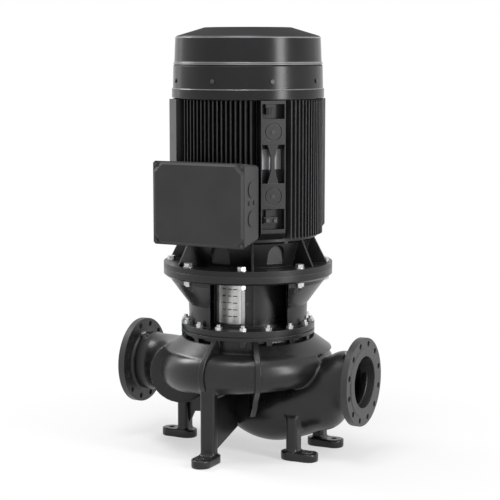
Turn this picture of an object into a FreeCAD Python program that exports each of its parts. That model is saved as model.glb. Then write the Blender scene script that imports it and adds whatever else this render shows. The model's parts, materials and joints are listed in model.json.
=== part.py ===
import FreeCAD, Part
import math
import os

os.makedirs("parts", exist_ok=True)

# In-line circulation pump with a vertical flange motor. Millimetres.
# The origin is on the floor below the shaft; X runs along the pipe towards the suction flange.

# Pipe flanges
port_to_port = 1000.0
pipe_axis_z = 300.0
port_bore_d = 200.0
port_neck_d = 227.0
port_straight = 60.0
port_flange_d = 340.0
port_flange_t = 30.0
port_face_d = 268.0
port_face_raise = 3.0
port_bolt_circle_d = 295.0
port_bolt_count = 12
port_bolt_hole_d = 22.0
# Each flange is drilled this far round from straddling the centre lines, and the discharge flange a little
# wider,
# so no hole is in line with an equal one in the other flange
port_drill_turn = 0.3
discharge_hole_extra_d = 0.6

# Cast casing, heights counted from the pipe axis where they say rise
casing_wall = 12.0
casing_top_rise = 175.0
casing_flange_r = 262.0
casing_flange_t = 13.0
casing_drum_r = 241.0
casing_floor_t = 26.0
chamber_r = 222.0
chamber_floor_rise = 8.0
deck_top_rise = 152.0
deck_edge_r = 330.0
deck_edge_rise = 98.0
deck_lip = 8.0
boss_w = 24.0
rib_t = 22.0
rib_proud = 9.0
eye_neck_r = 118.0
eye_depth = 120.0
recess_angles = (-92.0, -57.0)

# Volute tube: angle, centre radius, rise of the centre, section radius
volute_stations = [
    (150, 264, 52, 42),
    (100, 272, 51, 48),
    (50, 281, 49, 55),
    (0, 287, 47, 62),
    (-45, 288, 44, 70),
    (-90, 286, 38, 77),
    (-120, 277, 25, 80),
    (-150, 262, 8, 80),
]
outlet_slot_h = 30.0
duct_start_r = 125.0
duct_start_rise = -3.0
duct_handle = 105.0
slot_depth = 40.0
slot_start = -150.0
slot_sweep = 300.0
duct_steps = 4

# The lofts' sections are polygons; their first ring lies just inside the round neck
outer_sides = 20
inner_sides = 10
neck_inset = 0.8
neck_overlap = 8.0

# Suction bowl below the volute: x, rise of the centre, half width, half height
bowl_stations = [
    (397, -31, 128, 142),
    (312, -73, 136, 138),
    (227, -107, 141, 137),
    (119, -130, 139, 135),
    (31, -128, 129, 123),
    (-36, -115, 108, 104),
    (-90, -100, 78, 73),
    (-124, -88, 34, 32),
]
# Its water way is flatter, to pass under the volute
inlet_stations = [
    (397, -48, 110, 99),
    (345, -103, 116, 84),
    (227, -146, 127, 90),
    (119, -160, 125, 93),
    (31, -148, 113, 90),
    (-40, -130, 86, 66),
    (-84, -118, 50, 40),
]

# Feet
foot_t = 32.0
foot_w = 76.0
foot_reach = 62.0
foot_hole_d = 18.0
leg_w = 60.0
leg_d = 46.0
leg_fillet = 14.0
leg_side_x = 258.0
leg_side_y = 122.0
leg_side_top = 150.0
leg_left_top = 230.0
leg_front_top = 318.0
leg_left_x = -286.0
leg_front_y = -326.0
web_t = 14.0

# Plugs in the casing
plug_r = 8.0
plug_head_flats = 19.0
plug_head_h = 10.0
plug_depth = 14.0
plug_boss_r = 17.0
gauge_boss_rise = 10.0
gauge_setback = 22.0
gauge_lean = 24.0
drain_x = 119.0
drain_boss_y = 150.0

# Cover, gasket and studs
gasket_t = 1.0
cover_flange_r = 258.0
cover_flange_t = 4.0
cover_wall = 14.0
cover_plate_t = 24.0
cover_depth = 104.0
stud_count = 16
stud_circle_r = 246.0
stud_d = 16.0
stud_stand = 22.0
stud_depth = 25.0
cover_hub_r = 82.0
cover_rib_t = 10.0
nut_h = 13.0
nut_flats = 24.0
vent_r = 9.0
vent_y = 145.0
vent_depth = 16.0

# Motor stool
stool_height = 237.0
stool_base_r = 262.0
stool_base_t = 20.0
stool_waist_r = 230.0
stool_waist_h = 77.0
stool_shoulder_r = 300.0
stool_shoulder_drop = 50.0
stool_wall = 20.0
stool_flange_t = 31.0
stool_opening_w = 296.0
stool_opening_angle = -62.0
stool_tube_r = 170.0
stool_tube_wall = 12.0
window_half_angle = 23.0
window_margin = 12.0
window_angles = (-90, 90)
stool_rib_angle = -56.0
stool_rib_t = 7.0
stool_rib_reach = 12.0
stool_edge = 8.0

# Coupling guards
guard_t = 1.5
guard_half_angle = 28.0
guard_fold_angle = 17.5
guard_fold_out = 9.0
guard_fold_w = 9.0
guard_rows = 6
guard_slot_h = 3.0
guard_slot_w = 18.0
guard_slot_angle = 8.5
guard_screw_r = 5.0

# Motor flange and drive end shield
motor_flange_d = 660.0
motor_flange_t = 22.0
motor_bolt_circle_d = 600.0
motor_bolt_count = 8
motor_bolt_d = 20.0
motor_nut_flats = 30.0
motor_nut_h = 16.0
motor_head_h = 13.0
washer_t = 3.0
spigot_r = 275.0
spigot_h = 5.0
shield_foot_r = 222.0
shield_top_r = 252.0
shield_height = 114.0
shield_wall = 12.0
shield_rim_r = 268.0
shield_rim_t = 12.0
gusset_t = 8.0
gusset_reach = 316.0
pocket_angles = (-147, -90, -36, 36, 90, 147)
pocket_half = 38.0
side_pocket_half = 34.0
pocket_rise = 14.0
pocket_drop = 62.0
gusset_angles = (12, 60, 120, 168, -168, -120, -60, -12)
shield_bolt_angles = (-150, -100, -80, -30, 30, 80, 100, 150)
shield_bolt_flats = 16.0
shield_bolt_head_h = 8.0
shield_bolt_inset = 9.0

# Stator frame
frame_length = 518.0
frame_bore_r = 240.0
frame_root_r = 256.0
fin_tip_r = 290.0
fin_pitch = 17.5
fin_root_t = 6.0
fin_tip_t = 4.5
pad_w = 96.0
pad_r = 302.0
pad_chamfer = 11.0
pad_rim = 4.0
pocket_floor_r = 266.0
pad_length = 95.0
lower_pad_rise = 117.0
upper_pad_drop = 67.0
pad_ring_r = 33.0
pad_ring_w = 3.0
pocket_angle = -45.0
pad_plug_r = 9.0
pad_plug_depth = 20.0
nameplate_side_gap = 2.0
nameplate_t = 1.5
# Where the plate starts and ends between the two pads, as shares of that space
nameplate_span = (0.35, 0.875)
strut_half = 22.0
strut_waist = 7.0
strut_t = 12.0
frame_lug_w = 38.0
frame_lug_h = 25.0
lug_bolt_flats = 22.0
lug_bolt_h = 26.0
earth_rise = 62.0
lead_hole_r = 28.0

# Shafts and bearings
pump_shaft_r = 30.0
impeller_seat_r = 25.0
motor_shaft_r = 40.0
rotor_shaft_r = 50.0
fan_shaft_r = 32.0
fan_seat_h = 50.0
bearing_r = 85.0
bearing_w = 39.0
bearing_pitch_r = 62.5
ball_r = 11.0
ball_count = 9
ball_gap = 0.08
ball_flats = 8
groove_sides = 8
race_gap = 7.0
housing_r = 104.0
core_end = 81.0
core_start = 77.0
air_gap = 1.0
rotor_r = 150.0
end_ring_w = 38.0
end_ring_h = 24.0
vane_h = 16.0
winding_h = 48.0

# Coupling
coupling_r = 80.0
coupling_length = 160.0
coupling_split = 3.0
coupling_bolt_d = 14.0
coupling_bolt_x = 60.0
coupling_bolt_rows = 3
coupling_seat = 34.0
coupling_head_r = 11.0
shaft_joint_gap = 4.0

# Impeller and seal
impeller_r = 203.0
impeller_outlet_rise = 47.0
impeller_outlet_h = 26.0
shroud_t = 8.0
impeller_eye_r = 96.0
impeller_neck_r = 108.0
impeller_hub_r = 50.0
blade_count = 6
blade_t = 7.0
wear_gap = 0.4
wear_ring_w = 12.0
wear_seat_h = 22.0
seal_r = 44.0
seat_r = 46.0
seat_h = 14.0

# Rear shield, fan, fan cover and rain canopy
rear_plate_t = 18.0
rear_plate_r = 262.0
lug_w = 24.0
lug_height = 66.0
fan_r = 232.0
fan_blade_h = 66.0
fan_blades = 9
cover_skirt_r = 294.0
cover_skirt_h = 33.0
cover_foot_gap = 5.0
cover_band_r = 290.0
cover_band_top_r = 288.0
fan_cover_h = 130.0
sheet_t = 3.0
cover_screw_rise = 65.0
cover_screw_count = 8
screw_r = 4.0
head_gap = 0.3
fan_slot_rows = ((70, 118, 8), (128, 176, 12), (186, 232, 16))
fan_slot_bridge = 8.0
rear_bolt_circle_r = 222.0
canopy_gap = 6.0
canopy_rim_r = 284.0
canopy_band_top_r = 280.0
canopy_band_h = 92.0
canopy_flat_r = 168.0
canopy_height = 131.0
canopy_post_r = 8.0

# Terminal box, heights counted from the foot of the stator frame
box_half_w = 191.0
box_back_y = -292.0
box_front_y = -400.0
box_bottom = -14.0
box_top = 297.0
box_bottom_taper = 21.0
box_top_taper = 13.0
box_wall = 6.0
box_corner = 8.0
lid_t = 3.0
lid_panel_t = 8.0
lid_chamfer = 30.0
lid_screw_r = 3.0
lid_corner_inset = 11.0
pedestal_half_w = 110.0
entry_plug_r = 30.0
entry_small_r = 8.0
lead_hole_rise = 140.0
pedestal_z = (10.0, 270.0)

# Clearances
fit_gap = 0.2
bolt_gap = 1.0
overlap = 2.0

vec = FreeCAD.Vector
up = vec(0, 0, 1)
along = vec(1, 0, 0)
centre = vec(0, 0, 0)

# Levels that follow from the sizes above
port_x = port_to_port / 2
bolt_start = 180.0 / motor_bolt_count
casing_top = pipe_axis_z + casing_top_rise
cover_base = casing_top + gasket_t
stool_base = cover_base + cover_flange_t
stool_top = stool_base + stool_height
shield_base = stool_top + motor_flange_t
frame_base = shield_base + shield_height
frame_top = frame_base + frame_length
rear_top = frame_top + rear_plate_t
fan_cover_base = frame_top + cover_foot_gap
fan_cover_top = fan_cover_base + fan_cover_h
canopy_base = fan_cover_top + canopy_gap
canopy_top = canopy_base + canopy_height
outlet_z = pipe_axis_z + impeller_outlet_rise
chamber_floor = pipe_axis_z + chamber_floor_rise
cover_bottom = cover_base - cover_depth
cover_web_top = cover_bottom + cover_plate_t
drain_z = pipe_axis_z + bowl_stations[3][1]
hub_top = outlet_z + impeller_outlet_h / 2 + shroud_t + 30
seat_top = cover_base - 20
seal_face = seat_top - seat_h
coupling_base = stool_base + 22
coupling_top = coupling_base + coupling_length
shaft_joint = coupling_base + coupling_length / 2
drive_bearing_z = shield_base + 42
rear_bearing_z = frame_top - 22
core_base = frame_base + core_start
lower_pad_z = (lower_pad_rise, lower_pad_rise + pad_length)
upper_pad_z = (frame_length - upper_pad_drop - pad_length, frame_length - upper_pad_drop)
core_top = frame_top - core_end


def rod(radius, low, high, x=0.0, y=0.0):
    return Part.makeCylinder(radius, high - low, vec(x, y, low))


def rod_along_x(radius, x0, x1, y, z):
    return Part.makeCylinder(radius, x1 - x0, vec(x0, y, z), along)


def rod_outward(radius, r0, r1, z, angle):
    return turn(Part.makeCylinder(radius, r1 - r0, vec(r0, 0, z), along), angle)


def block(x0, x1, y0, y1, z0, z1):
    return Part.makeBox(x1 - x0, y1 - y0, z1 - z0, vec(x0, y0, z0))


def turn(shape, angle):
    return shape.rotated(centre, up, angle)


def around(shape, count, start=0.0):
    return [turn(shape, start + 360.0 * i / count) for i in range(count)]


def turned(outline, sweep=360.0, start=0.0):
    # A closed outline of (radius, height) points, turned about the shaft axis
    wire = Part.makePolygon([vec(r, 0, z) for r, z in outline + outline[:1]])
    return turn(Part.Face(wire).revolve(centre, up, sweep), start)


def ring(outer, inner, low, high):
    return turned([(inner, low), (outer, low), (outer, high), (inner, high)])


def plate(outline, thickness, angle=0.0):
    # A flat radial plate of (radius, height) points, centred on its own plane
    wire = Part.makePolygon([vec(r, -thickness / 2, z) for r, z in outline + outline[:1]])
    return turn(Part.Face(wire).extrude(vec(0, thickness, 0)), angle)


def hexagon(flats, low, high, x=0.0, y=0.0):
    corner = flats / math.sqrt(3)
    points = [vec(x + corner * math.cos(math.radians(60 * i)),
                  y + corner * math.sin(math.radians(60 * i)), low) for i in range(7)]
    return Part.Face(Part.makePolygon(points)).extrude(vec(0, 0, high - low))


def loft(rings):
    # Straight-sided loft, corner to corner, through polygons that all have the same number of sides
    faces = [Part.Face(rings[0]), Part.Face(rings[-1])]
    for first, second in zip(rings, rings[1:]):
        faces += [Part.makeRuledSurface(a, b) for a, b in zip(first.Edges, second.Edges)]
    shell = Part.makeShell(faces)
    shell.sewShape()
    outward = Part.makeSolid(shell.Shells[0])
    return outward if outward.Volume > 0 else Part.makeSolid(shell.Shells[0].reversed())


def join(first, *others):
    shapes = []
    for item in others:
        shapes.extend(item if isinstance(item, list) else [item])
    return first.fuse(shapes)


def less(first, *others):
    shapes = []
    for item in others:
        shapes.extend(item if isinstance(item, list) else [item])
    return first.cut(shapes)


def save(name, shapes):
    solids = []
    for shape in shapes if isinstance(shapes, list) else [shapes]:
        solids.extend(shape.Solids)
    body = solids[0] if len(solids) == 1 else Part.makeCompound(solids)
    body.exportStep("parts/" + name + ".step")
    print(name, len(solids), "solids", round(body.Volume / 1000), "cm3", "valid", body.isValid())


def oval(half_w, half_h, sides):
    # An upright oval across the X axis, drawn as a regular polygon so that the lofts keep few facets
    steps = [math.pi * (2 * i + 1) / sides for i in range(sides + 1)]
    return Part.makePolygon([vec(0, half_w * math.cos(t), half_h * math.sin(t)) for t in steps])


def volute_tube(wall, sides):
    rings = []
    for angle, radius, rise, section in volute_stations:
        wire = oval(section - wall, section - wall, sides).rotated(centre, up, -90)
        wire.translate(vec(radius, 0, pipe_axis_z + rise))
        rings.append(turn(wire, angle))
    return loft(rings)


def polar(radius, angle):
    return vec(radius * math.cos(math.radians(angle)), radius * math.sin(math.radians(angle)), 0)


def duct_ring(t, start_r, end_r, start_rise, sides):
    # A circle across the discharge duct, whose centre line is a cubic curve from the volute to the neck
    angle, radius = volute_stations[-1][:2]
    start = polar(radius, angle)
    end = vec(port_straight - port_x, 0, 0)
    first = start + polar(duct_handle, angle - 90)
    second = end + vec(duct_handle, 0, 0)
    u = 1.0 - t
    place = start * u**3 + first * (3 * u * u * t) + second * (3 * u * t * t) + end * t**3
    slope = (first - start) * (u * u) + (second - first) * (2 * u * t) + (end - second) * (t * t)
    ease = t * t * (3 - 2 * t)
    size = start_r + (end_r - start_r) * ease
    wire = turn(oval(size, size, sides), math.degrees(math.atan2(slope.y, slope.x)))
    wire.translate(place + vec(0, 0, pipe_axis_z + start_rise * (1 - ease)))
    return wire


def duct(start_r, end_r, start_rise, sides):
    # The last ring runs a little way into the straight neck, inside its round wall
    steps = [i / duct_steps for i in range(duct_steps + 1)]
    rings = [duct_ring(t, start_r, end_r - neck_inset, start_rise, sides) for t in steps]
    last = rings[-1].copy()
    last.translate(vec(-neck_overlap, 0, 0))
    return loft(rings + [last])


def bowl(neck_r, stations, sides):
    neck = port_x - port_straight
    size = neck_r - neck_inset
    wires = []
    straight = [(neck + neck_overlap, 0, size, size), (neck, 0, size, size)]
    for x, rise, half_w, half_h in straight + stations:
        wire = oval(half_w, half_h, sides)
        wire.translate(vec(x, 0, pipe_axis_z + rise))
        wires.append(wire)
    return loft(wires)


def port_outside(side):
    neck, rim, face = port_neck_d / 2, port_flange_d / 2, port_face_d / 2
    flange = turned_port([(0, port_straight), (neck, port_straight), (neck, port_flange_t),
                          (rim, port_flange_t), (rim, port_face_raise), (face, port_face_raise),
                          (face, 0), (0, 0)])
    return turn(flange, side)


def turned_port(outline):
    # An outline of (radius, distance behind the port's face) turned about the pipe axis
    points = [vec(port_x - back, 0, pipe_axis_z + r) for r, back in outline + outline[:1]]
    return Part.Face(Part.makePolygon(points)).revolve(vec(0, 0, pipe_axis_z), along, 360)


def port_holes(side):
    holes = []
    hole_r = (port_bolt_hole_d + (discharge_hole_extra_d if side else 0.0)) / 2
    for i in range(port_bolt_count):
        angle = math.radians(360.0 / port_bolt_count * (i + 0.5) + port_drill_turn)
        y = port_bolt_circle_d / 2 * math.cos(angle)
        z = pipe_axis_z + port_bolt_circle_d / 2 * math.sin(angle)
        holes.append(rod_along_x(hole_r, port_x - port_flange_t, port_x, y, z))
    holes.append(rod_along_x(port_bore_d / 2, port_x - port_straight, port_x, 0, pipe_axis_z))
    return [turn(shape, side) for shape in holes]


def gauge_spot(shape, side):
    # Something built upright on the pipe axis, leaned to the front and set behind a port flange
    leaned = shape.rotated(centre, along, gauge_lean if side == 0 else -gauge_lean)
    leaned.translate(vec(port_x - port_flange_t - gauge_setback, 0, pipe_axis_z))
    return turn(leaned, side)


def leg(x, y, angle, top):
    # One cast leg: a column with an arched head and a stadium foot that points outward
    half = leg_w / 2
    column = block(-leg_d / 2, leg_d / 2, -half, half, 0, top)
    column = column.fuse(rod_along_x(half, -leg_d / 2, leg_d / 2, 0, top))
    column = column.makeFillet(leg_fillet, [e for e in column.Edges if upright(e) and e.Length > 0.9 * top])
    sole = block(-leg_d / 2, foot_reach, -foot_w / 2, foot_w / 2, 0, foot_t)
    ends = [rod(foot_w / 2, 0, foot_t, x_end, 0) for x_end in (foot_reach, -leg_d / 4)]
    return put(join(column, sole, ends), x, y, angle)


def upright(edge):
    low, high = edge.BoundBox.ZMin, edge.BoundBox.ZMax
    return abs(edge.Length - (high - low)) < 0.01


def foot_hole(x, y, angle):
    return put(rod(foot_hole_d / 2, 0, foot_t, foot_reach, 0), x, y, angle)


def put(shape, x, y, angle):
    placed = turn(shape, angle)
    placed.translate(vec(x, y, 0))
    return placed


legs = [
    (leg_side_x, leg_side_y, 0, leg_side_top),
    (leg_side_x, -leg_side_y, 0, leg_side_top),
    (leg_left_x, 0, 180, leg_left_top),
    (0, leg_front_y, -90, leg_front_top),
]


def tube_at(angle):
    # The volute's centre radius, rise and section radius at any angle between its stations
    for first, second in zip(volute_stations, volute_stations[1:]):
        if first[0] >= angle >= second[0]:
            share = (first[0] - angle) / (first[0] - second[0])
            return [a + (b - a) * share for a, b in zip(first[1:], second[1:])]


def volute_rib(angle, feet):
    # A rib that wraps the tube: a disc round the section, a web up to the flange and a web below
    radius, rise, section = tube_at(angle)
    z = pipe_axis_z + rise
    edge = casing_top - casing_flange_t
    disc = Part.makeCylinder(section + rib_proud, rib_t, vec(radius, -rib_t / 2, z), vec(0, 1, 0))
    inner, outer = casing_drum_r - deck_lip, casing_flange_r - overlap
    web = plate([(inner, z), (radius + section * 0.7, z + section * 0.7), (outer, edge - deck_lip),
                 (outer, edge),
                 (inner, edge)], rib_t)
    heel = [(radius - 60, z - section), (radius + section * 0.75, z - section * 0.65)]
    lower = plate(heel + feet, rib_t - 4)
    return turn(join(disc, web, lower), angle)


def casing_drum():
    # The round body round the chamber, with the top flange that carries the studs
    edge = casing_top - casing_flange_t
    floor = chamber_floor - casing_floor_t
    return turned([(0, floor), (eye_neck_r, floor), (casing_drum_r, chamber_floor - deck_lip),
                   (casing_drum_r, edge),
                   (casing_flange_r, edge), (casing_flange_r, casing_top), (0, casing_top)])


def casing_deck():
    # The sloping deck between the drum and the volute, left out between the two front ribs
    inner = casing_drum_r - 5
    deck_z = pipe_axis_z + deck_top_rise
    edge_z = pipe_axis_z + deck_edge_rise
    first, last = recess_angles
    outline = [(inner, outlet_z), (casing_flange_r + 10, outlet_z), (deck_edge_r - 6, edge_z - deck_lip),
               (deck_edge_r, edge_z), (casing_flange_r, deck_z), (inner, deck_z)]
    return turned(outline, 360 + first - last, last)


def casing_ribs():
    first, last = recess_angles
    return [volute_rib(first, [(-leg_front_y + 10, 250)]),
            volute_rib(last, [(245, 212), (175, 150), (130, 200)])]


def casing_webs():
    # Webs from the front leg and the left leg to the bowl
    front = plate([(100, 96), (318, 30), (318, 240), (120, 240)], web_t, -90)
    left = plate([(110, 120), (240, 110), (268, 50), (280, 50), (280, 220), (120, 220)], web_t, 180)
    return [front, left]


def casing_outside():
    deck_z = pipe_axis_z + deck_top_rise
    edge = casing_top - casing_flange_t
    boss = block(casing_drum_r - 4, casing_flange_r - 1, -boss_w / 2, boss_w / 2, deck_z - 4, edge + 4)
    outlet = duct(duct_start_r, port_neck_d / 2, duct_start_rise, outer_sides)
    eye_neck = rod(eye_neck_r, pipe_axis_z - 100, chamber_floor - 20)
    gauge_boss = rod(plug_boss_r, port_bore_d / 2 + 5, port_neck_d / 2 + gauge_boss_rise)
    drain_boss = rod_along_y(plug_boss_r, drain_boss_y - 30, drain_boss_y, drain_x, drain_z)
    body = join(casing_drum(), volute_tube(0, outer_sides), bowl(port_neck_d / 2, bowl_stations, outer_sides))
    body = join(body, casing_deck(), outlet)
    body = join(body, eye_neck, around(boss, stud_count), casing_ribs(), casing_webs())
    body = join(body, [leg(*place) for place in legs])
    gauge_bosses = [gauge_spot(gauge_boss, side) for side in (0, 180)]
    return join(body, port_outside(0), port_outside(180), gauge_bosses, drain_boss)


def pump_casing():
    chamber = rod(chamber_r, chamber_floor, casing_top)
    slot_in, slot_out = chamber_r - 5, chamber_r + slot_depth
    slot_low, slot_high = outlet_z - outlet_slot_h / 2, outlet_z + outlet_slot_h / 2
    slot = turned([(slot_in, slot_low), (slot_out, slot_low), (slot_out, slot_high), (slot_in, slot_high)],
                  slot_sweep, slot_start)
    eye = rod(impeller_eye_r, pipe_axis_z - eye_depth, chamber_floor)
    seat = rod(impeller_neck_r + wear_gap + wear_ring_w, chamber_floor - wear_seat_h, chamber_floor)
    last_rise, last_section = volute_stations[-1][2:]
    outlet = duct(last_section - casing_wall, port_bore_d / 2, last_rise, inner_sides)
    inlet = join(bowl(port_bore_d / 2, inlet_stations, inner_sides), eye)
    stud_hole = rod(stud_d / 2 + fit_gap, casing_top - stud_depth, casing_top, stud_circle_r)
    gauge_hole = rod(plug_r + fit_gap, port_neck_d / 2 - 6, port_neck_d / 2 + gauge_boss_rise)
    drain_hole = rod_along_y(plug_r + fit_gap, drain_boss_y - plug_depth - 4, drain_boss_y, drain_x, drain_z)
    body = less(casing_outside(), inlet)
    body = less(body, join(volute_tube(casing_wall, inner_sides), slot, chamber), seat)
    body = less(body, outlet)
    return less(body, port_holes(0), port_holes(180), around(stud_hole, stud_count),
                [foot_hole(*place[:3]) for place in legs],
                [gauge_spot(gauge_hole, s) for s in (0, 180)], drain_hole)


def hex_plug(depth):
    return join(rod(plug_r, -depth, 0), hexagon(plug_head_flats, 0, plug_head_h))


def gauge_plugs():
    plug = hex_plug(plug_depth)
    plug.translate(vec(0, 0, port_neck_d / 2 + gauge_boss_rise))
    return [gauge_spot(plug, side) for side in (0, 180)]


def drain_plug():
    plug = hex_plug(plug_depth).rotated(centre, along, -90)
    plug.translate(vec(drain_x, drain_boss_y, drain_z))
    return plug


def wear_ring():
    inner = impeller_neck_r + wear_gap
    return ring(inner + wear_ring_w - fit_gap, inner, chamber_floor - wear_seat_h, chamber_floor - overlap)


def cover_gasket():
    body = ring(cover_flange_r, chamber_r, casing_top, cover_base)
    hole = rod(stud_d / 2 + bolt_gap, casing_top, cover_base, stud_circle_r, 0)
    return less(body, around(hole, stud_count))


def casing_cover():
    # Dished cover: a rim on the gasket, a wall inside the chamber and a hub that holds the shaft seal
    skirt = chamber_r - fit_gap
    inner = skirt - cover_wall
    bore, seat, hub = pump_shaft_r + 4, seat_r + fit_gap, seat_r + 16
    web = cover_web_top
    body = turned([(skirt, cover_bottom), (skirt, cover_base), (cover_flange_r, cover_base),
                   (cover_flange_r, stool_base), (inner, stool_base), (inner, web + 6), (inner - 6, web),
                   (cover_hub_r + 6, web), (cover_hub_r, web + 6), (cover_hub_r, seat_top + 12),
                   (bore, seat_top + 12),
                   (bore, seat_top), (seat, seat_top), (seat, seal_face), (hub, seal_face - 8),
                   (hub, cover_bottom)])
    rib = plate([(cover_hub_r - 2, web - 2), (inner - overlap, web - 2), (inner - overlap, web + 20),
                 (cover_hub_r - 2, seat_top - 4)], cover_rib_t)
    vent = rod(vent_r + fit_gap, web - vent_depth, web, 0, vent_y)
    holes = around(rod(stud_d / 2 + bolt_gap, cover_base, stool_base, stud_circle_r, 0), stud_count)
    return less(join(body, around(rib, 8, 11.25)), vent, holes)


def vent_plug():
    top = cover_web_top
    return join(rod(vent_r, top - vent_depth, top, 0, vent_y),
                hexagon(vent_r * 2.6, top, top + 14, 0, vent_y))


def cover_studs():
    stud = rod(stud_d / 2, casing_top - stud_depth, stool_base + stool_base_t + stud_stand, stud_circle_r, 0)
    return around(stud, stud_count)


def hex_nut(flats, bore_d, low, high, x):
    nut = hexagon(flats, low, high, x, 0)
    crown = turned([(0, low), (flats * 0.5, low), (flats * 0.58, low + 1.5), (flats * 0.58, high - 1.5),
                    (flats * 0.5, high), (0, high)])
    crown.translate(vec(x, 0, 0))
    return less(nut.common(crown), rod(bore_d / 2, low, high, x, 0))


def cover_nuts():
    seat = stool_base + stool_base_t
    return around(hex_nut(nut_flats, stud_d + fit_gap, seat, seat + nut_h, stud_circle_r), stud_count)


def stool_box(half_w, low, high):
    reach = stool_shoulder_r + 5
    return turn(block(-reach, reach, -half_w, half_w, low, high), stool_opening_angle)


def stool_window(angle, half_angle, low, high):
    reach = stool_tube_r + 20
    half = reach * math.tan(math.radians(half_angle))
    tip = vec(0, 0, low)
    outline = Part.makePolygon([tip, vec(reach, -half, low), vec(reach, half, low), tip])
    return turn(Part.Face(outline).extrude(vec(0, 0, high - low)), angle)


def stool_shell(foot, waist, shoulder, roof):
    # The flared outer wall, open at front and back, with round sockets for the flange nuts
    inner = stool_shoulder_r - stool_wall
    shell = turned([(stool_waist_r - stool_wall, foot - 1), (stool_waist_r, foot - 1),
                    (stool_waist_r + 3, waist),
                    (stool_shoulder_r, shoulder + 32), (stool_shoulder_r, roof + 1), (inner, roof + 1),
                    (inner, shoulder + 36), (stool_waist_r + 3 - stool_wall, waist + 4)])
    opening = stool_box(stool_opening_w / 2, foot, roof)
    socket = rod(motor_nut_flats / math.sqrt(3) + 1.5, waist, roof, motor_bolt_circle_d / 2, 0)
    return less(shell, opening, around(socket, motor_bolt_count, bolt_start)).Solids


def stool_cheeks(foot, waist, shoulder, roof):
    # Flat walls beside the two openings, from the tube to the flared wall
    opening = stool_box(stool_opening_w / 2, foot, roof)
    cheeks = less(stool_box(stool_opening_w / 2 + web_t, foot - 1, roof + 1), opening)
    inner, waist_r, shoulder_r = stool_tube_r - 6, stool_waist_r - 8, stool_shoulder_r - 12
    inside = turned([(inner, foot - 1), (waist_r, foot - 1), (waist_r, waist), (shoulder_r, shoulder + 32),
                     (shoulder_r, roof + 1), (inner, roof + 1)])
    return cheeks.common(inside).Solids


def motor_stool():
    foot = stool_base + stool_base_t
    roof = stool_top - stool_flange_t
    levels = (foot, foot + stool_waist_h, roof - stool_shoulder_drop, roof)
    bore = stool_tube_r - stool_tube_wall
    rim, spigot = motor_flange_d / 2, spigot_r + fit_gap
    spigot_floor = stool_top - spigot_h - 1
    tube = ring(stool_tube_r, bore, foot - 1, roof + 1)
    tube = less(tube, [stool_window(a, window_half_angle, foot + window_margin, roof - window_margin)
                       for a in window_angles])
    top = turned([(bore, roof), (rim - 10, roof), (rim, roof + stool_edge), (rim, stool_top),
                  (spigot, stool_top),
                  (spigot, spigot_floor), (bore, spigot_floor)])
    fin_r = stool_tube_r + stool_rib_reach
    fin = plate([(stool_tube_r - 4, foot), (fin_r, foot), (fin_r, roof), (stool_tube_r - 4, roof)],
                stool_rib_t,
                stool_rib_angle)
    ledge = ring(stool_tube_r + 14, stool_tube_r - overlap, foot, foot + stool_edge)
    body = join(ring(stool_base_r, bore, stool_base, foot), top)
    body = join(body, tube, fin, ledge)
    body = join(body, stool_shell(*levels) + stool_cheeks(*levels))
    holes = around(rod(stud_d / 2 + bolt_gap, stool_base, foot, stud_circle_r, 0), stud_count)
    bolt_hole = rod(motor_bolt_d / 2 + bolt_gap, roof, stool_top, motor_bolt_circle_d / 2, 0)
    return less(body, holes, around(bolt_hole, motor_bolt_count, bolt_start))


def guard(angle):
    # A curved sheet behind the tube's window, with rows of slots and two folded strips through the window
    foot = stool_base + stool_base_t
    roof = stool_top - stool_flange_t
    outer = stool_tube_r - stool_tube_wall - fit_gap
    low, high = foot + 2, roof - 2
    sheet = turned([(outer - guard_t, low), (outer, low), (outer, high), (outer - guard_t, high)],
                   2 * guard_half_angle, angle - guard_half_angle)
    rows = []
    pitch = (high - low - 2 * window_margin) / guard_rows
    for row in range(guard_rows - 1):
        z = low + window_margin + pitch * (row + 1)
        for side in (-guard_slot_angle, 0, guard_slot_angle):
            cut = block(outer - 8, outer + 4, -guard_slot_w / 2, guard_slot_w / 2, z - guard_slot_h / 2,
                        z + guard_slot_h / 2)
            rows.append(turn(cut, angle + side))
    folds = []
    for side in (-1, 1):
        strip = block(outer - guard_t, outer + guard_fold_out, 0, guard_t, foot + window_margin + 2,
                      roof - window_margin - 2)
        lip = block(outer + guard_fold_out - guard_t, outer + guard_fold_out, -guard_fold_w * (side > 0),
                    guard_t + guard_fold_w * (side < 0), foot + window_margin + 2, roof - window_margin - 2)
        folds.append(turn(strip.fuse(lip), angle + side * guard_fold_angle))
    return join(less(sheet, rows), folds)


def guard_screws():
    # Two screws per guard hold it to the tube, beside the window
    foot = stool_base + stool_base_t
    z = (foot + stool_top - stool_flange_t) / 2
    screws = []
    for window in window_angles:
        for side in (-1, 1):
            place = window + side * (window_half_angle + 3)
            screws.append(rod_outward(guard_screw_r, stool_tube_r, stool_tube_r + 4, z, place))
    return screws


def arch(r0, r1, half, low, crown):
    # A round-headed doorway shape across the X axis, drawn outwards
    head = Part.Arc(vec(r0, half, crown), vec(r0, 0, crown + half), vec(r0, -half, crown)).toShape()
    corners = ((-half, crown), (-half, low), (half, low), (half, crown))
    sides = Part.makePolygon([vec(r0, y, z) for y, z in corners])
    return Part.Face(Part.Wire(sides.Edges + [head])).extrude(vec(r1 - r0, 0, 0))


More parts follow.
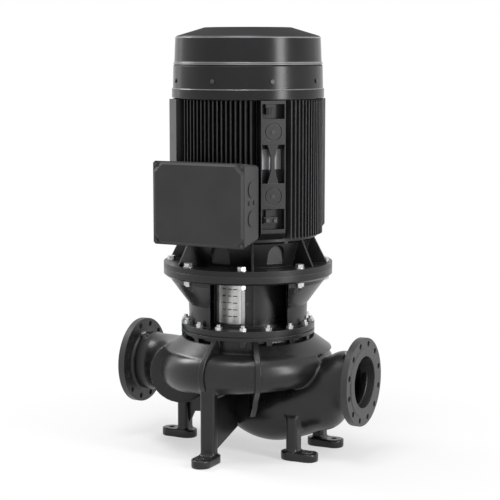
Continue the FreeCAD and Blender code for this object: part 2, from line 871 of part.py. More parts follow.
def shield_bell():
    # The turned bell: flange with its spigot, tapered wall, rim, inner hollow and bearing housing
    base, top = stool_top, frame_base
    bore = bearing_r + fit_gap
    seat_low = drive_bearing_z
    rim, hollow, register = motor_flange_d / 2, shield_foot_r - shield_wall, frame_bore_r - fit_gap
    outside = [(motor_shaft_r + 3, base), (spigot_r, base), (spigot_r, base - spigot_h),
               (spigot_r - 12, base - spigot_h), (spigot_r - 12, base), (rim, base), (rim, shield_base),
               (shield_foot_r, shield_base), (shield_top_r - 4, top - 22), (shield_rim_r, top - shield_rim_t),
               (shield_rim_r, top), (register, top)]
    inside = [(register, top + 10), (frame_bore_r - 14, top + 10), (frame_bore_r - 14, top - 4),
              (hollow, top - 20),
              (hollow, shield_base + 12), (hollow - 12, shield_base), (housing_r + 8, shield_base),
              (housing_r, shield_base + 8), (housing_r, seat_low + bearing_w + 8),
              (bore, seat_low + bearing_w + 8),
              (bore, seat_low), (bearing_r - 22, seat_low), (bearing_r - 22, seat_low - 10),
              (motor_shaft_r + 3, seat_low - 10)]
    return turned(outside + inside)


def shield_pocket(angle):
    # An arched pocket in the bell's wall; the ones beside the box are narrower
    half = side_pocket_half if abs(angle) == 36 else pocket_half
    slope = (shield_top_r - shield_foot_r) / shield_height
    inner = shield_foot_r + slope * pocket_rise - 3
    return turn(arch(inner, inner + 60, half, shield_base + pocket_rise, frame_base - pocket_drop), angle)


def drive_endshield():
    # Bell between the motor flange and the stator frame, with eight gussets, arched pockets and a bearing
    # seat
    under_rim = frame_base - shield_rim_t
    foot = shield_base - overlap
    gusset = plate([(shield_foot_r - 6, foot), (gusset_reach, foot), (gusset_reach, shield_base + 4),
                    (shield_rim_r - 4, under_rim + overlap), (shield_top_r - 10, under_rim + overlap)],
                    gusset_t)
    seat = rod(shield_bolt_flats * 0.65, under_rim - 2 * shield_bolt_head_h, under_rim,
               shield_rim_r - shield_bolt_inset)
    hole = rod(motor_bolt_d / 2 + bolt_gap, stool_top, shield_base, motor_bolt_circle_d / 2)
    body = less(shield_bell(), [shield_pocket(angle) for angle in pocket_angles])
    body = join(body, [turn(gusset, angle) for angle in gusset_angles])
    body = less(body, [turn(seat, angle) for angle in shield_bolt_angles])
    return less(body, around(hole, motor_bolt_count, bolt_start))


def flange_bolts():
    x = motor_bolt_circle_d / 2
    low = stool_top - stool_flange_t - motor_nut_h - 5
    seat = shield_base + washer_t
    shank = rod(motor_bolt_d / 2, low, shield_base + overlap, x)
    washer = rod(motor_nut_flats * 0.62, shield_base, seat, x)
    head = hexagon(motor_nut_flats, seat, seat + motor_head_h, x)
    return around(join(shank, washer, head), motor_bolt_count, bolt_start)


def flange_nuts():
    top = stool_top - stool_flange_t
    nut = hex_nut(motor_nut_flats, motor_bolt_d + fit_gap, top - motor_nut_h, top, motor_bolt_circle_d / 2)
    return around(nut, motor_bolt_count, bolt_start)


def fin_outline():
    # Straight fins in four quadrants with a wide pad column on each diagonal, as one closed outline
    points = []
    clear = math.radians(45) - math.asin(pad_w / 2 / frame_root_r)
    each_side = math.floor((frame_root_r * math.sin(clear) - fin_root_t / 2) / fin_pitch)
    for quarter in range(4):
        spin = 90.0 * quarter
        local = []
        for i in range(-each_side, each_side + 1):
            y = i * fin_pitch
            root, tip = fin_root_t / 2, fin_tip_t / 2
            local.append((math.sqrt(frame_root_r**2 - (y - root)**2), y - root))
            local.append((math.sqrt(fin_tip_r**2 - (y - tip)**2), y - tip))
            local.append((math.sqrt(fin_tip_r**2 - (y + tip)**2), y + tip))
            local.append((math.sqrt(frame_root_r**2 - (y + root)**2), y + root))
        points += [(x, y, spin) for x, y in local]
        half = pad_w / 2
        root = math.sqrt(frame_root_r**2 - half**2)
        corners = ((root, -half), (pad_r, -half), (pad_r, half), (root, half))
        points += [(x, y, spin + 45) for x, y in corners]
    turned_points = []
    for x, y, spin in points:
        c, s = math.cos(math.radians(spin)), math.sin(math.radians(spin))
        turned_points.append(vec(x * c - y * s, x * s + y * c, frame_base))
    return Part.makePolygon(turned_points + turned_points[:1])


def pad_column_cuts():
    # Pockets between the pads of one column, and a ring and a plug hole in each pad
    half = pad_w / 2 - pad_rim
    spans = [(40, lower_pad_z[0]), (lower_pad_z[1], upper_pad_z[0]), (upper_pad_z[1], frame_length - 12)]
    cuts = [block(pocket_floor_r, pad_r + 1, -half, half, frame_base + low, frame_base + high)
            for low, high in spans]
    for low, high in (upper_pad_z, lower_pad_z):
        middle = vec(pad_r - 3, 0, frame_base + (low + high) / 2)
        groove = Part.makeCylinder(pad_ring_r, 3, middle, along)
        cuts.append(groove.cut(Part.makeCylinder(pad_ring_r - pad_ring_w, 3, middle, along)))
        cuts.append(Part.makeCylinder(pad_plug_r, pad_plug_depth, middle - vec(pad_plug_depth - 3, 0, 0),
                                      along))
    return [turn(shape, pocket_angle) for shape in cuts]


def stator_frame():
    body = Part.Face(fin_outline()).extrude(vec(0, 0, frame_length))
    body = less(body, rod(frame_bore_r, frame_base, frame_top))
    # The low end of each pad column is bevelled
    bevel = plate([(pad_r - pad_chamfer - 14, frame_base), (pad_r + 10, frame_base),
                   (pad_r + 10, frame_base + 34),
                   (pad_r, frame_base + 26)], pad_w + 4)
    body = less(body, around(bevel, 4, 45))
    body = less(body, pad_column_cuts())
    low, high = pedestal_z
    pedestal = block(-pedestal_half_w, pedestal_half_w, box_back_y, -frame_root_r + 12, frame_base + low,
                     frame_base + high)
    strut_low, strut_high = frame_base + lower_pad_z[1] - overlap, frame_base + upper_pad_z[0] + overlap
    body = join(body, pedestal, strut(strut_low, strut_high), frame_lug())
    lead_hole = Part.makeCylinder(lead_hole_r, 70, vec(0, box_back_y, frame_base + lead_hole_rise),
                                  vec(0, 1, 0))
    return less(body, lead_hole)


def strut(low, high):
    # A waisted bar across the pocket between the two pads, in front of the nameplate
    span = high - low
    narrow, wide = low + span * 0.34, low + span * 0.66
    right = [(strut_half, low), (strut_waist, narrow), (strut_waist, wide), (strut_half, high)]
    outline = right + [(-y, z) for y, z in reversed(right)]
    depth = pad_r - 16
    wire = Part.makePolygon([vec(depth, y, z) for y, z in outline + outline[:1]])
    return turn(Part.Face(wire).extrude(vec(strut_t, 0, 0)), pocket_angle)


def frame_lug():
    # A cast lug in the pocket above the upper pad
    middle = -frame_lug_w * 0.2
    lug = block(pocket_floor_r - overlap, pad_r - 10, middle - frame_lug_w / 2, middle + frame_lug_w / 2,
                frame_top - frame_lug_h, frame_top - 12 + overlap)
    return turn(lug, pocket_angle)


def frame_lug_bolt():
    # Hexagon head under the lug
    top = frame_top - frame_lug_h
    middle = (pocket_floor_r + pad_r - 10) / 2
    return turn(hexagon(lug_bolt_flats, top - lug_bolt_h, top, middle, -frame_lug_w * 0.3), pocket_angle)


def pad_plugs():
    plugs = []
    for low, high in (upper_pad_z, lower_pad_z):
        middle = frame_base + (low + high) / 2
        plugs.append(rod_outward(pad_plug_r - fit_gap, pad_r - pad_plug_depth, pad_r + 2, middle,
                                 pocket_angle))
    return plugs


def nameplate():
    space = upper_pad_z[0] - lower_pad_z[1]
    low, high = [frame_base + lower_pad_z[1] + space * share for share in nameplate_span]
    half = pad_w / 2 - pad_rim - nameplate_side_gap
    return turn(block(pocket_floor_r, pocket_floor_r + nameplate_t, -half, half, low, high), pocket_angle)


def earth_clamp():
    # A clamp block with its saddle, a cable bar above it and a lug below it
    low = frame_base + earth_rise
    base = block(pocket_floor_r, pocket_floor_r + 26, -34, 20, low, low + 24)
    saddle = block(pocket_floor_r + 26, pocket_floor_r + 32, -30, 16, low + 3, low + 21)
    bar = block(pocket_floor_r, pocket_floor_r + 14, -22, 0, low + 24, frame_base + lower_pad_z[0] - 4)
    return turn(join(base, saddle, bar), pocket_angle)


def earth_bolts():
    bolts = []
    for y in (-22, 8):
        head = Part.makeCylinder(7, 6, vec(pocket_floor_r + 32, y, frame_base + earth_rise + 12), along)
        bolts.append(turn(head, pocket_angle))
    return bolts


def stator_core():
    return ring(frame_bore_r - fit_gap, rotor_r + air_gap, core_base, core_top)


def stator_windings():
    heads = []
    for low, high, bulge in ((core_base - winding_h, core_base, 6), (core_top, core_top + winding_h, 6)):
        heads.append(turned([(rotor_r + 14, low + bulge), (rotor_r + 24, low), (frame_bore_r - 26, low),
                             (frame_bore_r - 16, low + bulge), (frame_bore_r - 16, high - bulge),
                             (frame_bore_r - 26, high), (rotor_r + 24, high), (rotor_r + 14, high - bulge)]))
    return heads


def ball_groove(low):
    # The ball track of a bearing, its round section drawn with flats
    reach = (ball_r + ball_gap) / math.cos(math.pi / groove_sides)
    steps = [2 * math.pi * (i + 0.5) / groove_sides for i in range(groove_sides)]
    middle = low + bearing_w / 2
    return turned([(bearing_pitch_r + reach * math.cos(t), middle + reach * math.sin(t)) for t in steps])


def bearing_outer(low):
    return less(ring(bearing_r, bearing_pitch_r + race_gap, low, low + bearing_w), ball_groove(low))


def bearing_inner(low):
    return less(ring(bearing_pitch_r - race_gap, motor_shaft_r, low, low + bearing_w), ball_groove(low))


def ball():
    # A ball turned from an outline with flats, because eighteen true ones would outweigh all the rest in
    # facets
    steps = [math.pi * (i / ball_flats - 0.5) for i in range(ball_flats + 1)]
    return turned([(max(ball_r * math.cos(t), 0.0), ball_r * math.sin(t)) for t in steps])


def bearing_balls(low):
    first = ball()
    first.translate(vec(bearing_pitch_r, 0, low + bearing_w / 2))
    return around(first, ball_count)


def motor_shaft():
    low = shaft_joint + shaft_joint_gap / 2
    step_low = drive_bearing_z + bearing_w
    step_high = rear_bearing_z
    fan_low = rear_top + 20
    tip = fan_low + fan_seat_h
    return turned([(0, low), (motor_shaft_r - 2, low), (motor_shaft_r, low + 2), (motor_shaft_r, step_low),
                   (rotor_shaft_r, step_low), (rotor_shaft_r, step_high), (motor_shaft_r, step_high),
                   (motor_shaft_r, fan_low), (fan_shaft_r, fan_low), (fan_shaft_r, tip), (0, tip)])


def rotor_core():
    outer, inner = rotor_r - 2, rotor_r - 2 - end_ring_w
    rings, vanes = [], []
    below = core_base - end_ring_h
    for low, vane_low in ((below, below - vane_h), (core_top, core_top + end_ring_h)):
        rings.append(ring(outer, inner, low, low + end_ring_h))
        vanes += around(block(inner + 2, outer - 4, -3, 3, vane_low, vane_low + vane_h), 6)
    return join(ring(rotor_r, rotor_shaft_r, core_base, core_top), rings, vanes)


def rear_endshield():
    # Plate with the rear bearing's housing; eight lugs on its edge carry the fan cover
    low = frame_top
    bore, register, flange = bearing_r + fit_gap, frame_bore_r - fit_gap, frame_bore_r - 14
    body = turned([(register, low - 10), (register, low), (rear_plate_r, low), (rear_plate_r, rear_top - 4),
                   (rear_plate_r - 4, rear_top), (housing_r + 12, rear_top), (housing_r, rear_top + 10),
                   (motor_shaft_r + 4, rear_top + 10), (motor_shaft_r + 4, low + 17), (bore, low + 17),
                   (bore, low - 26), (housing_r, low - 26), (housing_r, low), (flange, low),
                   (flange, low - 10)])
    lug = block(rear_plate_r - 12, cover_band_top_r - sheet_t - 2.5, -lug_w / 2, lug_w / 2, low + 6,
                fan_cover_base + lug_height)
    lug = join(lug, plate([(rear_plate_r - 50, rear_top - 2), (rear_plate_r - 10, rear_top - 2),
                           (rear_plate_r - 10, rear_top + 40)], 8))
    hole = rod_outward(screw_r + fit_gap, rear_plate_r - 12, cover_band_r,
                       fan_cover_base + cover_screw_rise, 0)
    lugs = around(less(lug, hole), cover_screw_count)
    bolts = around(rod(6 + bolt_gap, low, rear_top, rear_bolt_circle_r, 0), cover_screw_count, 22.5)
    return less(join(body, lugs), bolts)


def rear_endshield_bolts():
    bolt = join(rod(6, frame_top, rear_top + 1, rear_bolt_circle_r, 0),
                hexagon(18, rear_top, rear_top + 8, rear_bolt_circle_r, 0))
    return around(bolt, cover_screw_count, 22.5)


def drive_endshield_bolts():
    seat = frame_base - shield_rim_t
    bolt = hexagon(shield_bolt_flats, seat - shield_bolt_head_h, seat, shield_rim_r - shield_bolt_inset)
    return [turn(bolt, angle) for angle in shield_bolt_angles]


def cooling_fan():
    low = rear_top + 22
    hub = ring(fan_shaft_r + 26, fan_shaft_r + fit_gap, low, low + 46)
    disc = ring(fan_r, fan_shaft_r + 20, low, low + 4)
    blades = around(plate([(fan_shaft_r + 22, low + 2), (fan_r, low + 2), (fan_r, low + fan_blade_h),
                           (90, low + fan_blade_h), (fan_shaft_r + 22, low + 44)], 4), fan_blades)
    return join(hub, disc, blades)


def fan_cover():
    # Thin turned shell, wider in its skirt, with rings of air slots in the top under the canopy
    base, top = fan_cover_base, fan_cover_top
    skirt = base + cover_skirt_h
    outside = [(cover_skirt_r, base), (cover_skirt_r, skirt), (cover_band_r, skirt + 3),
               (cover_band_top_r, top - 9),
               (cover_band_top_r - 8, top), (0, top)]
    inside = [(0, top - sheet_t), (cover_band_top_r - 9, top - sheet_t),
              (cover_band_top_r - sheet_t, top - 10),
              (cover_band_r - sheet_t, skirt + 4), (cover_skirt_r - sheet_t, skirt - 1),
              (cover_skirt_r - sheet_t, base)]
    slots = []
    for inner, outer, count in fan_slot_rows:
        arc = 360.0 / count - math.degrees(fan_slot_bridge / outer)
        outline = [(inner, top - sheet_t), (outer, top - sheet_t), (outer, top), (inner, top)]
        slots += around(turned(outline, arc), count)
    hole = rod_outward(screw_r + fit_gap, cover_band_top_r - 20, cover_band_r + 5, base + cover_screw_rise, 0)
    return less(turned(outside + inside), slots, around(hole, cover_screw_count))


def fan_cover_screws():
    z = fan_cover_base + cover_screw_rise
    band_share = (cover_screw_rise - cover_skirt_h) / (fan_cover_h - cover_skirt_h)
    slope = (cover_band_r - cover_band_top_r) * band_share
    face = cover_band_r - slope
    seat = face + head_gap
    shank = rod_outward(screw_r, rear_plate_r - 8, seat + 1, z, 0)
    screw = join(shank, rod_outward(2 * screw_r, seat, seat + 4, z, 0))
    return around(screw, cover_screw_count)


def rain_canopy():
    # Thin cap with a flat top and a coned shoulder, on four posts that stand on the fan cover
    base, top = canopy_base, canopy_top
    band = base + canopy_band_h
    shoulder = canopy_band_top_r - 6
    slope = (top - band - 7) / (shoulder - canopy_flat_r)
    outside = [(canopy_rim_r, base), (canopy_band_top_r, band), (shoulder, band + 7),
               (canopy_flat_r, top), (0, top)]
    inside = [(0, top - sheet_t), (canopy_flat_r - 1, top - sheet_t), (shoulder - 2, band + 7 - sheet_t),
              (canopy_band_top_r - sheet_t, band - 1), (canopy_rim_r - sheet_t, base)]
    post_r = canopy_band_top_r - 18
    post_top = band + 7 + slope * (shoulder - post_r - canopy_post_r) - 1
    posts = around(rod(canopy_post_r, fan_cover_top, post_top, post_r, 0), 4, 22.5)
    return join(turned(outside + inside), posts)


def box_section(y, low, high, inset):
    half = box_half_w - inset
    low, high = frame_base + low + inset, frame_base + high - inset
    c = max(box_corner - inset, 1.0)
    points = [(-half + c, low), (half - c, low), (half, low + c), (half, high - c), (half - c, high),
              (-half + c, high), (-half, high - c), (-half, low + c)]
    return Part.makePolygon([vec(x, y, z) for x, z in points + points[:1]])


def terminal_box():
    back = (box_bottom + box_bottom_taper, box_top - box_top_taper)
    front = (box_bottom, box_top)
    sections = [box_section(box_back_y, *back, 0), box_section(box_front_y, *front, 0)]
    outer = Part.makeLoft(sections, True, True)
    inner = Part.makeLoft([box_section(box_back_y - box_wall, *back, box_wall),
                           box_section(box_front_y, *front, box_wall)], True, True)
    lead_hole = Part.makeCylinder(lead_hole_r, 70, vec(0, box_back_y, frame_base + lead_hole_rise),
                                  vec(0, -1, 0))
    entries = [rod_along_x(r - 4, box_half_w - box_wall - 1, box_half_w, y, z) for r, y, z in entry_places()]
    bosses = [rod_along_y(10, box_front_y, box_back_y - 20, x, z) for x, z in lid_corners()]
    tapped = [rod_along_y(lid_screw_r + fit_gap, box_front_y, box_front_y + 20, x, z)
              for x, z in lid_corners()]
    bosses = [boss.common(outer) for boss in bosses]
    return less(join(less(outer, inner), bosses), lead_hole, entries, tapped)


def rod_along_y(radius, y0, y1, x, z):
    return Part.makeCylinder(radius, y1 - y0, vec(x, y0, z), vec(0, 1, 0))


def entry_places():
    middle = (box_back_y + box_front_y) / 2
    large = [(entry_plug_r, middle, frame_base + rise) for rise in (199, 92)]
    return large + [(entry_small_r, middle + y, frame_base + 150) for y in (-20, 20)]


def lid_corners():
    heights = (frame_base + box_bottom + lid_corner_inset, frame_base + box_top - lid_corner_inset)
    return [(side * (box_half_w - lid_corner_inset), z) for side in (-1, 1) for z in heights]


def entry_plugs():
    plugs = []
    for r, y, z in entry_places():
        plugs.append(join(rod_along_x(r - 4 - fit_gap, box_half_w - box_wall - 4, box_half_w + 1, y, z),
                          rod_along_x(r, box_half_w, box_half_w + 3.5, y, z)))
    return plugs


def panel_section(y, inset):
    half = box_half_w - 3 - inset
    low, high = frame_base + box_bottom + 3 + inset, frame_base + box_top - 3 - inset
    c = lid_chamfer
    points = [(-half + c, low), (half - c, low), (half, low + c), (half, high - c), (half - c, high),
              (-half + c, high), (-half, high - c), (-half, low + c)]
    return Part.makePolygon([vec(x, y, z) for x, z in points + points[:1]])


def terminal_box_lid():
    base = Part.Face(box_section(box_front_y, box_bottom, box_top, 0)).extrude(vec(0, -lid_t, 0))
    face = box_front_y - lid_t
    panel = Part.makeLoft([panel_section(face + 0.5, 0), panel_section(face - lid_panel_t, 9)], True, True)
    hollow = Part.Face(panel_section(box_front_y, 16)).extrude(vec(0, -lid_panel_t, 0))
    holes = [rod_along_y(3.5, box_front_y - lid_t, box_front_y, x, z) for x, z in lid_corners()]
    return less(join(base, panel), hollow, holes)


def lid_screws():
    face = box_front_y - lid_t
    return [join(rod_along_y(lid_screw_r, face - 0.5, face + 18, x, z),
                 rod_along_y(6.5, face - 4, face, x, z))
            for x, z in lid_corners()]


def terminal_board():
    back = box_back_y - box_wall
    return block(-75, 75, back - 22, back, frame_base + 190, frame_base + 245)


def terminal_studs():
    face = box_back_y - box_wall - 22
    return [rod_along_y(4, face - 22, face, x, frame_base + z) for x in (-45, 0, 45) for z in (203, 232)]


def coupling_half(side):
    # Half of a split muff: two bores for the two shafts, clamped by bolts through both halves
    whole = turned([(0, coupling_base), (coupling_r - 4, coupling_base), (coupling_r, coupling_base + 4),
                    (coupling_r, coupling_top - 4), (coupling_r - 4, coupling_top), (0, coupling_top)])
    whole = less(whole, rod(pump_shaft_r, coupling_base, shaft_joint))
    whole = less(whole, rod(motor_shaft_r, shaft_joint, coupling_top))
    keep = block(-coupling_r, coupling_r, coupling_split / 2, coupling_r, coupling_base, coupling_top)
    half = whole.common(keep if side > 0 else turn(keep, 180))
    cuts = []
    for x, z in coupling_bolt_places():
        cuts.append(rod_along_y(coupling_bolt_d / 2 + 0.5, -coupling_r, coupling_r, x, z))
        cuts.append(rod_along_y(coupling_head_r + 2, coupling_seat, coupling_r, x, z))
        cuts.append(rod_along_y(coupling_head_r + 2, -coupling_r, -coupling_seat, x, z))
    return less(half, cuts)


def coupling_bolt_places():
    pitch = coupling_length / coupling_bolt_rows
    return [(x, coupling_base + pitch * (i + 0.5)) for x in (-coupling_bolt_x, coupling_bolt_x)
            for i in range(coupling_bolt_rows)]


def coupling_bolts():
    bolts = []
    for x, z in coupling_bolt_places():
        shank = rod_along_y(coupling_bolt_d / 2, -coupling_seat - 1, coupling_seat + 1, x, z)
        head = rod_along_y(coupling_head_r, coupling_seat, coupling_seat + coupling_head_r, x, z)
        nut = rod_along_y(coupling_head_r, -coupling_seat - coupling_head_r, -coupling_seat, x, z)
        bolts.append(join(shank, head, nut))
    return bolts


def pump_shaft():
    top = shaft_joint - shaft_joint_gap / 2
    shoulder = hub_top
    low = outlet_z - 42
    thread, thread_top = impeller_seat_r - 5, low + 26
    body = turned([(0, low), (thread, low), (thread, thread_top), (impeller_seat_r, thread_top),
                   (impeller_seat_r, shoulder), (pump_shaft_r, shoulder), (pump_shaft_r, top - 2),
                   (pump_shaft_r - 2, top), (0, top)])
    return less(body, key_block(0))


def key_block(gap):
    return block(impeller_seat_r - 5, impeller_seat_r + 4, -6 - gap, 6 + gap, outlet_z - 8, hub_top - 14)


def impeller():
    # Closed impeller: a front shroud round the eye, swept-back blades and a back shroud with its hub
    low = outlet_z - impeller_outlet_h / 2
    high = outlet_z + impeller_outlet_h / 2
    neck = chamber_floor - 20
    front = turned([(impeller_eye_r, neck), (impeller_neck_r, neck), (impeller_neck_r, chamber_floor + 3),
                    (150, low - shroud_t - 4), (impeller_r, low - shroud_t), (impeller_r, low),
                    (150, low - 3),
                    (112, chamber_floor + 14), (impeller_eye_r, chamber_floor - 4)])
    back = turned([(impeller_seat_r, outlet_z - 16), (34, outlet_z - 16), (impeller_hub_r, outlet_z - 2),
                   (80, high - 4), (110, high), (impeller_r, high), (impeller_r, high + shroud_t),
                   (impeller_hub_r, high + shroud_t), (impeller_hub_r - 6, hub_top),
                   (impeller_seat_r, hub_top)])
    space = turned([(70, outlet_z - 26), (impeller_eye_r + 2, chamber_floor - 2), (112, chamber_floor + 10),
                    (150, low - 6), (impeller_r - 1, low - 3), (impeller_r - 1, high + 3),
                    (110, high + 3), (70, high)])
    blades = []
    for i in range(blade_count):
        outline = blade_outline()
        solid = Part.Face(Part.makePolygon(outline + outline[:1])).extrude(vec(0, 0, 90))
        blades.append(turn(solid, 360.0 / blade_count * i).common(space))
    return less(join(front, back, blades), key_block(0))


def blade_outline():
    # The blade's two sides follow a spiral whose angle falls as the radius grows
    inner, outer = 76.0, impeller_r - 1
    sides = ([], [])
    for i in range(9):
        radius = inner + (outer - inner) * i / 8
        lag = 95.0 * math.log(radius / inner) / math.log(outer / inner)
        for side, sign in zip(sides, (-1, 1)):
            angle = math.radians(lag) + sign * blade_t / 2 / radius
            side.append(vec(radius * math.cos(angle), radius * math.sin(angle), outlet_z - 50))
    return sides[0] + sides[1][::-1]


def impeller_nut():
    top = outlet_z - 16
    nut = hexagon(46, top - 20, top)
    return less(nut, rod(impeller_seat_r - 5, top - 20, top))


def seal_seat():
    return turned([(pump_shaft_r + 3, seal_face + 3), (pump_shaft_r + 6, seal_face), (seat_r, seal_face),
                   (seat_r, seat_top), (pump_shaft_r + 3, seat_top)])


def seal_head():
    low = hub_top + 22
    return turned([(pump_shaft_r, low), (seal_r, low), (seal_r, seal_face - 5), (seal_r - 4, seal_face - 5),
                   (seal_r - 4, seal_face), (pump_shaft_r + 6, seal_face), (pump_shaft_r, seal_face - 6)])


def seal_bellows():
    # A rubber bellows whose folds run round the shaft
    low, high = hub_top, hub_top + 22
    folds = 3
    outline = [(pump_shaft_r, low)]
    for i in range(folds):
        z = low + (high - low) * i / folds
        outline += [(seal_r - 2, z), (seal_r - 2, z + 4), (pump_shaft_r + 7, z + 5.5)]
    outline += [(seal_r - 2, high), (pump_shaft_r, high)]
    return turned(outline)


def impeller_key():
    return key_block(-0.1)


parts = [
    ("pump_casing", pump_casing), ("casing_wear_ring", wear_ring), ("cover_gasket", cover_gasket),
    ("casing_cover", casing_cover), ("vent_plug", vent_plug), ("gauge_plugs", gauge_plugs),
    ("drain_plug", drain_plug), ("cover_studs", cover_studs), ("cover_nuts", cover_nuts),
    ("motor_stool", motor_stool), ("guard_screws", guard_screws), ("seal_seat", seal_seat),
    ("drive_endshield", drive_endshield), ("flange_bolts", flange_bolts), ("flange_nuts", flange_nuts),
    ("drive_endshield_bolts", drive_endshield_bolts), ("stator_frame", stator_frame),
    ("frame_lug_bolt", frame_lug_bolt), ("pad_plugs", pad_plugs), ("nameplate", nameplate),
    ("earth_clamp", earth_clamp), ("earth_bolts", earth_bolts), ("stator_core", stator_core),
    ("stator_windings", stator_windings), ("rear_endshield", rear_endshield),
    ("rear_endshield_bolts", rear_endshield_bolts), ("fan_cover", fan_cover),
    ("fan_cover_screws", fan_cover_screws), ("rain_canopy", rain_canopy), ("terminal_box", terminal_box),
    ("terminal_box_lid", terminal_box_lid), ("lid_screws", lid_screws), ("terminal_board", terminal_board),
    ("terminal_studs", terminal_studs), ("cable_entry_plugs", entry_plugs),
    ("coupling_bolts", coupling_bolts),
    ("pump_shaft", pump_shaft), ("impeller_key", impeller_key), ("impeller", impeller),
    ("impeller_nut", impeller_nut), ("seal_head", seal_head), ("seal_bellows", seal_bellows),
    ("motor_shaft", motor_shaft), ("rotor_core", rotor_core), ("cooling_fan", cooling_fan),
]
for name, build in parts:
    save(name, build())
for name, side in (("guard_front", -90), ("guard_rear", 90)):
    save(name, guard(side))
for name, side in (("coupling_half_front", -1), ("coupling_half_rear", 1)):
    save(name, coupling_half(side))
for name, low in (("drive", drive_bearing_z), ("rear", rear_bearing_z)):
    save(name + "_bearing_outer", bearing_outer(low))
    save(name + "_bearing_inner", bearing_inner(low))
    save(name + "_bearing_balls", bearing_balls(low))
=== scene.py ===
import json
import math

import bmesh
import bpy
import numpy as np
import openvdb
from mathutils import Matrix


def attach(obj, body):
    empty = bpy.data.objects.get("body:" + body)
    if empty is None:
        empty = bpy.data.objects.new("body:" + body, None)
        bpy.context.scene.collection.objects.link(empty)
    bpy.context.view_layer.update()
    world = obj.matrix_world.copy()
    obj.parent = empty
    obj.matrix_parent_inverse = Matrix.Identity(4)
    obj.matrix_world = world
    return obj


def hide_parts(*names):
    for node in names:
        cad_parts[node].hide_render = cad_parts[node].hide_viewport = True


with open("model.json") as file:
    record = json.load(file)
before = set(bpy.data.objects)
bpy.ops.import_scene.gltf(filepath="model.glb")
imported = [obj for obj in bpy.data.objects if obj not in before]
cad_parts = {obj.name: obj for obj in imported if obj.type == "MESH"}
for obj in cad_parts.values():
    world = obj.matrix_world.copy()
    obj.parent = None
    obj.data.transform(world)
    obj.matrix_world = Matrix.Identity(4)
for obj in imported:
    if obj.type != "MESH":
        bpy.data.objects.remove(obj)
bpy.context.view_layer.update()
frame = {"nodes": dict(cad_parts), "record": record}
nodes = frame["nodes"]
print("frame loaded:", len(nodes), "nodes")

mm = 0.001
noiseMiddle = 0.5
# Bevel samples, and the range of the edge mask that paints a highlight along the edges
edgeMask = {"samples": 6, "from": 0.02, "to": 0.22}


# A shader socket that can be written in sums and products
class Wire:
    def __init__(self, work, socket):
        self.work, self.socket = work, socket

    def combine(self, operation, first, second):
        return self.work.add("ShaderNodeMath", {"operation": operation}, {0: first, 1: second})

    def __add__(self, other):
        return self.combine("ADD", self, other)

    def __radd__(self, other):
        return self.combine("ADD", other, self)

    def __sub__(self, other):
        return self.combine("SUBTRACT", self, other)

    def __rsub__(self, other):
        return self.combine("SUBTRACT", other, self)

    def __mul__(self, other):
        return self.combine("MULTIPLY", self, other)

    def __rmul__(self, other):
        return self.combine("MULTIPLY", other, self)

    def larger(self, other):
        return self.combine("MAXIMUM", self, other)


# The nodes of a material or of the world
class NodeWork:
    def __init__(self, tree):
        self.tree = tree

    def add(self, kind, settings, inputs, out=0):
        # One node of a kind: its settings first, then the values or links of its sockets
        node = self.tree.nodes.new(kind)
        for key, value in settings.items():
            setattr(node, key, value)
        for key, value in inputs.items():
            self.feed(node.inputs[key], value)
        return Wire(self, node.outputs[out])

    def feed(self, socket, value):
        if isinstance(value, Wire):
            self.tree.links.new(value.socket, socket)
        elif isinstance(value, tuple) and len(value) == 3 and socket.type == "RGBA":
            socket.default_value = (*value, 1.0)
        else:
            socket.default_value = value

    def shown(self):
        # 1 where the camera looks, also by a reflection or through glass, and 0 for the light on the object
        camera, glossy, through = (self.add("ShaderNodeLightPath", {}, {}, name)
                                   for name in ("Is Camera Ray", "Is Glossy Ray", "Is Transmission Ray"))
        return camera.larger(glossy).larger(through)


class Finish(NodeWork):
    def __init__(self, name):
        self.material = bpy.data.materials.new(name)
        self.material.use_nodes = True
        super().__init__(self.material.node_tree)
        self.shader = self.tree.nodes["Principled BSDF"]
        self.place = self.add("ShaderNodeTexCoord", {}, {}, "Object")

    def set(self, **sockets):
        for key, value in sockets.items():
            self.feed(self.shader.inputs[key.replace("_", " ")], value)
        return self.material

    def noise(self, scale, detail=3.0, rough=0.55):
        return self.add("ShaderNodeTexNoise", {}, {"Vector": self.place, "Scale": scale, "Detail": detail,
                                                   "Roughness": rough})

    def spread(self, value, low, high):
        # A value mapped so that low becomes 0 and high becomes 1
        return self.add("ShaderNodeMapRange", {"clamp": True},
                        {"Value": value, "From Min": low, "From Max": high})

    def blend(self, factor, first, second):
        return self.add("ShaderNodeMix", {"data_type": "RGBA"}, {"Factor": factor, 6: first, 7: second}, 2)

    def bump(self, height, strength, distance, normal=None):
        sockets = {"Height": height, "Strength": strength, "Distance": distance}
        if normal:
            sockets["Normal"] = normal
        return self.add("ShaderNodeBump", {}, sockets)

    def normal(self):
        return self.add("ShaderNodeNewGeometry", {}, {}, "Normal")

    def rounded(self, radius):
        # The surface's normal with its edges rounded off by a radius
        return self.add("ShaderNodeBevel", {"samples": edgeMask["samples"]}, {"Radius": radius})

    def edges(self, soft):
        # A mask of the edges: where the rounded normal leaves the true one; paint() uses it to paint a
        # highlight along them
        same = self.add("ShaderNodeVectorMath", {"operation": "DOT_PRODUCT"},
                        {0: soft, 1: self.normal()}, "Value")
        return self.spread(1.0 - same, edgeMask["from"], edgeMask["to"])

    def upward(self):
        # How far a face looks upwards: the height part of its normal
        return self.add("ShaderNodeSeparateXYZ", {}, {0: self.normal()}, "Z")


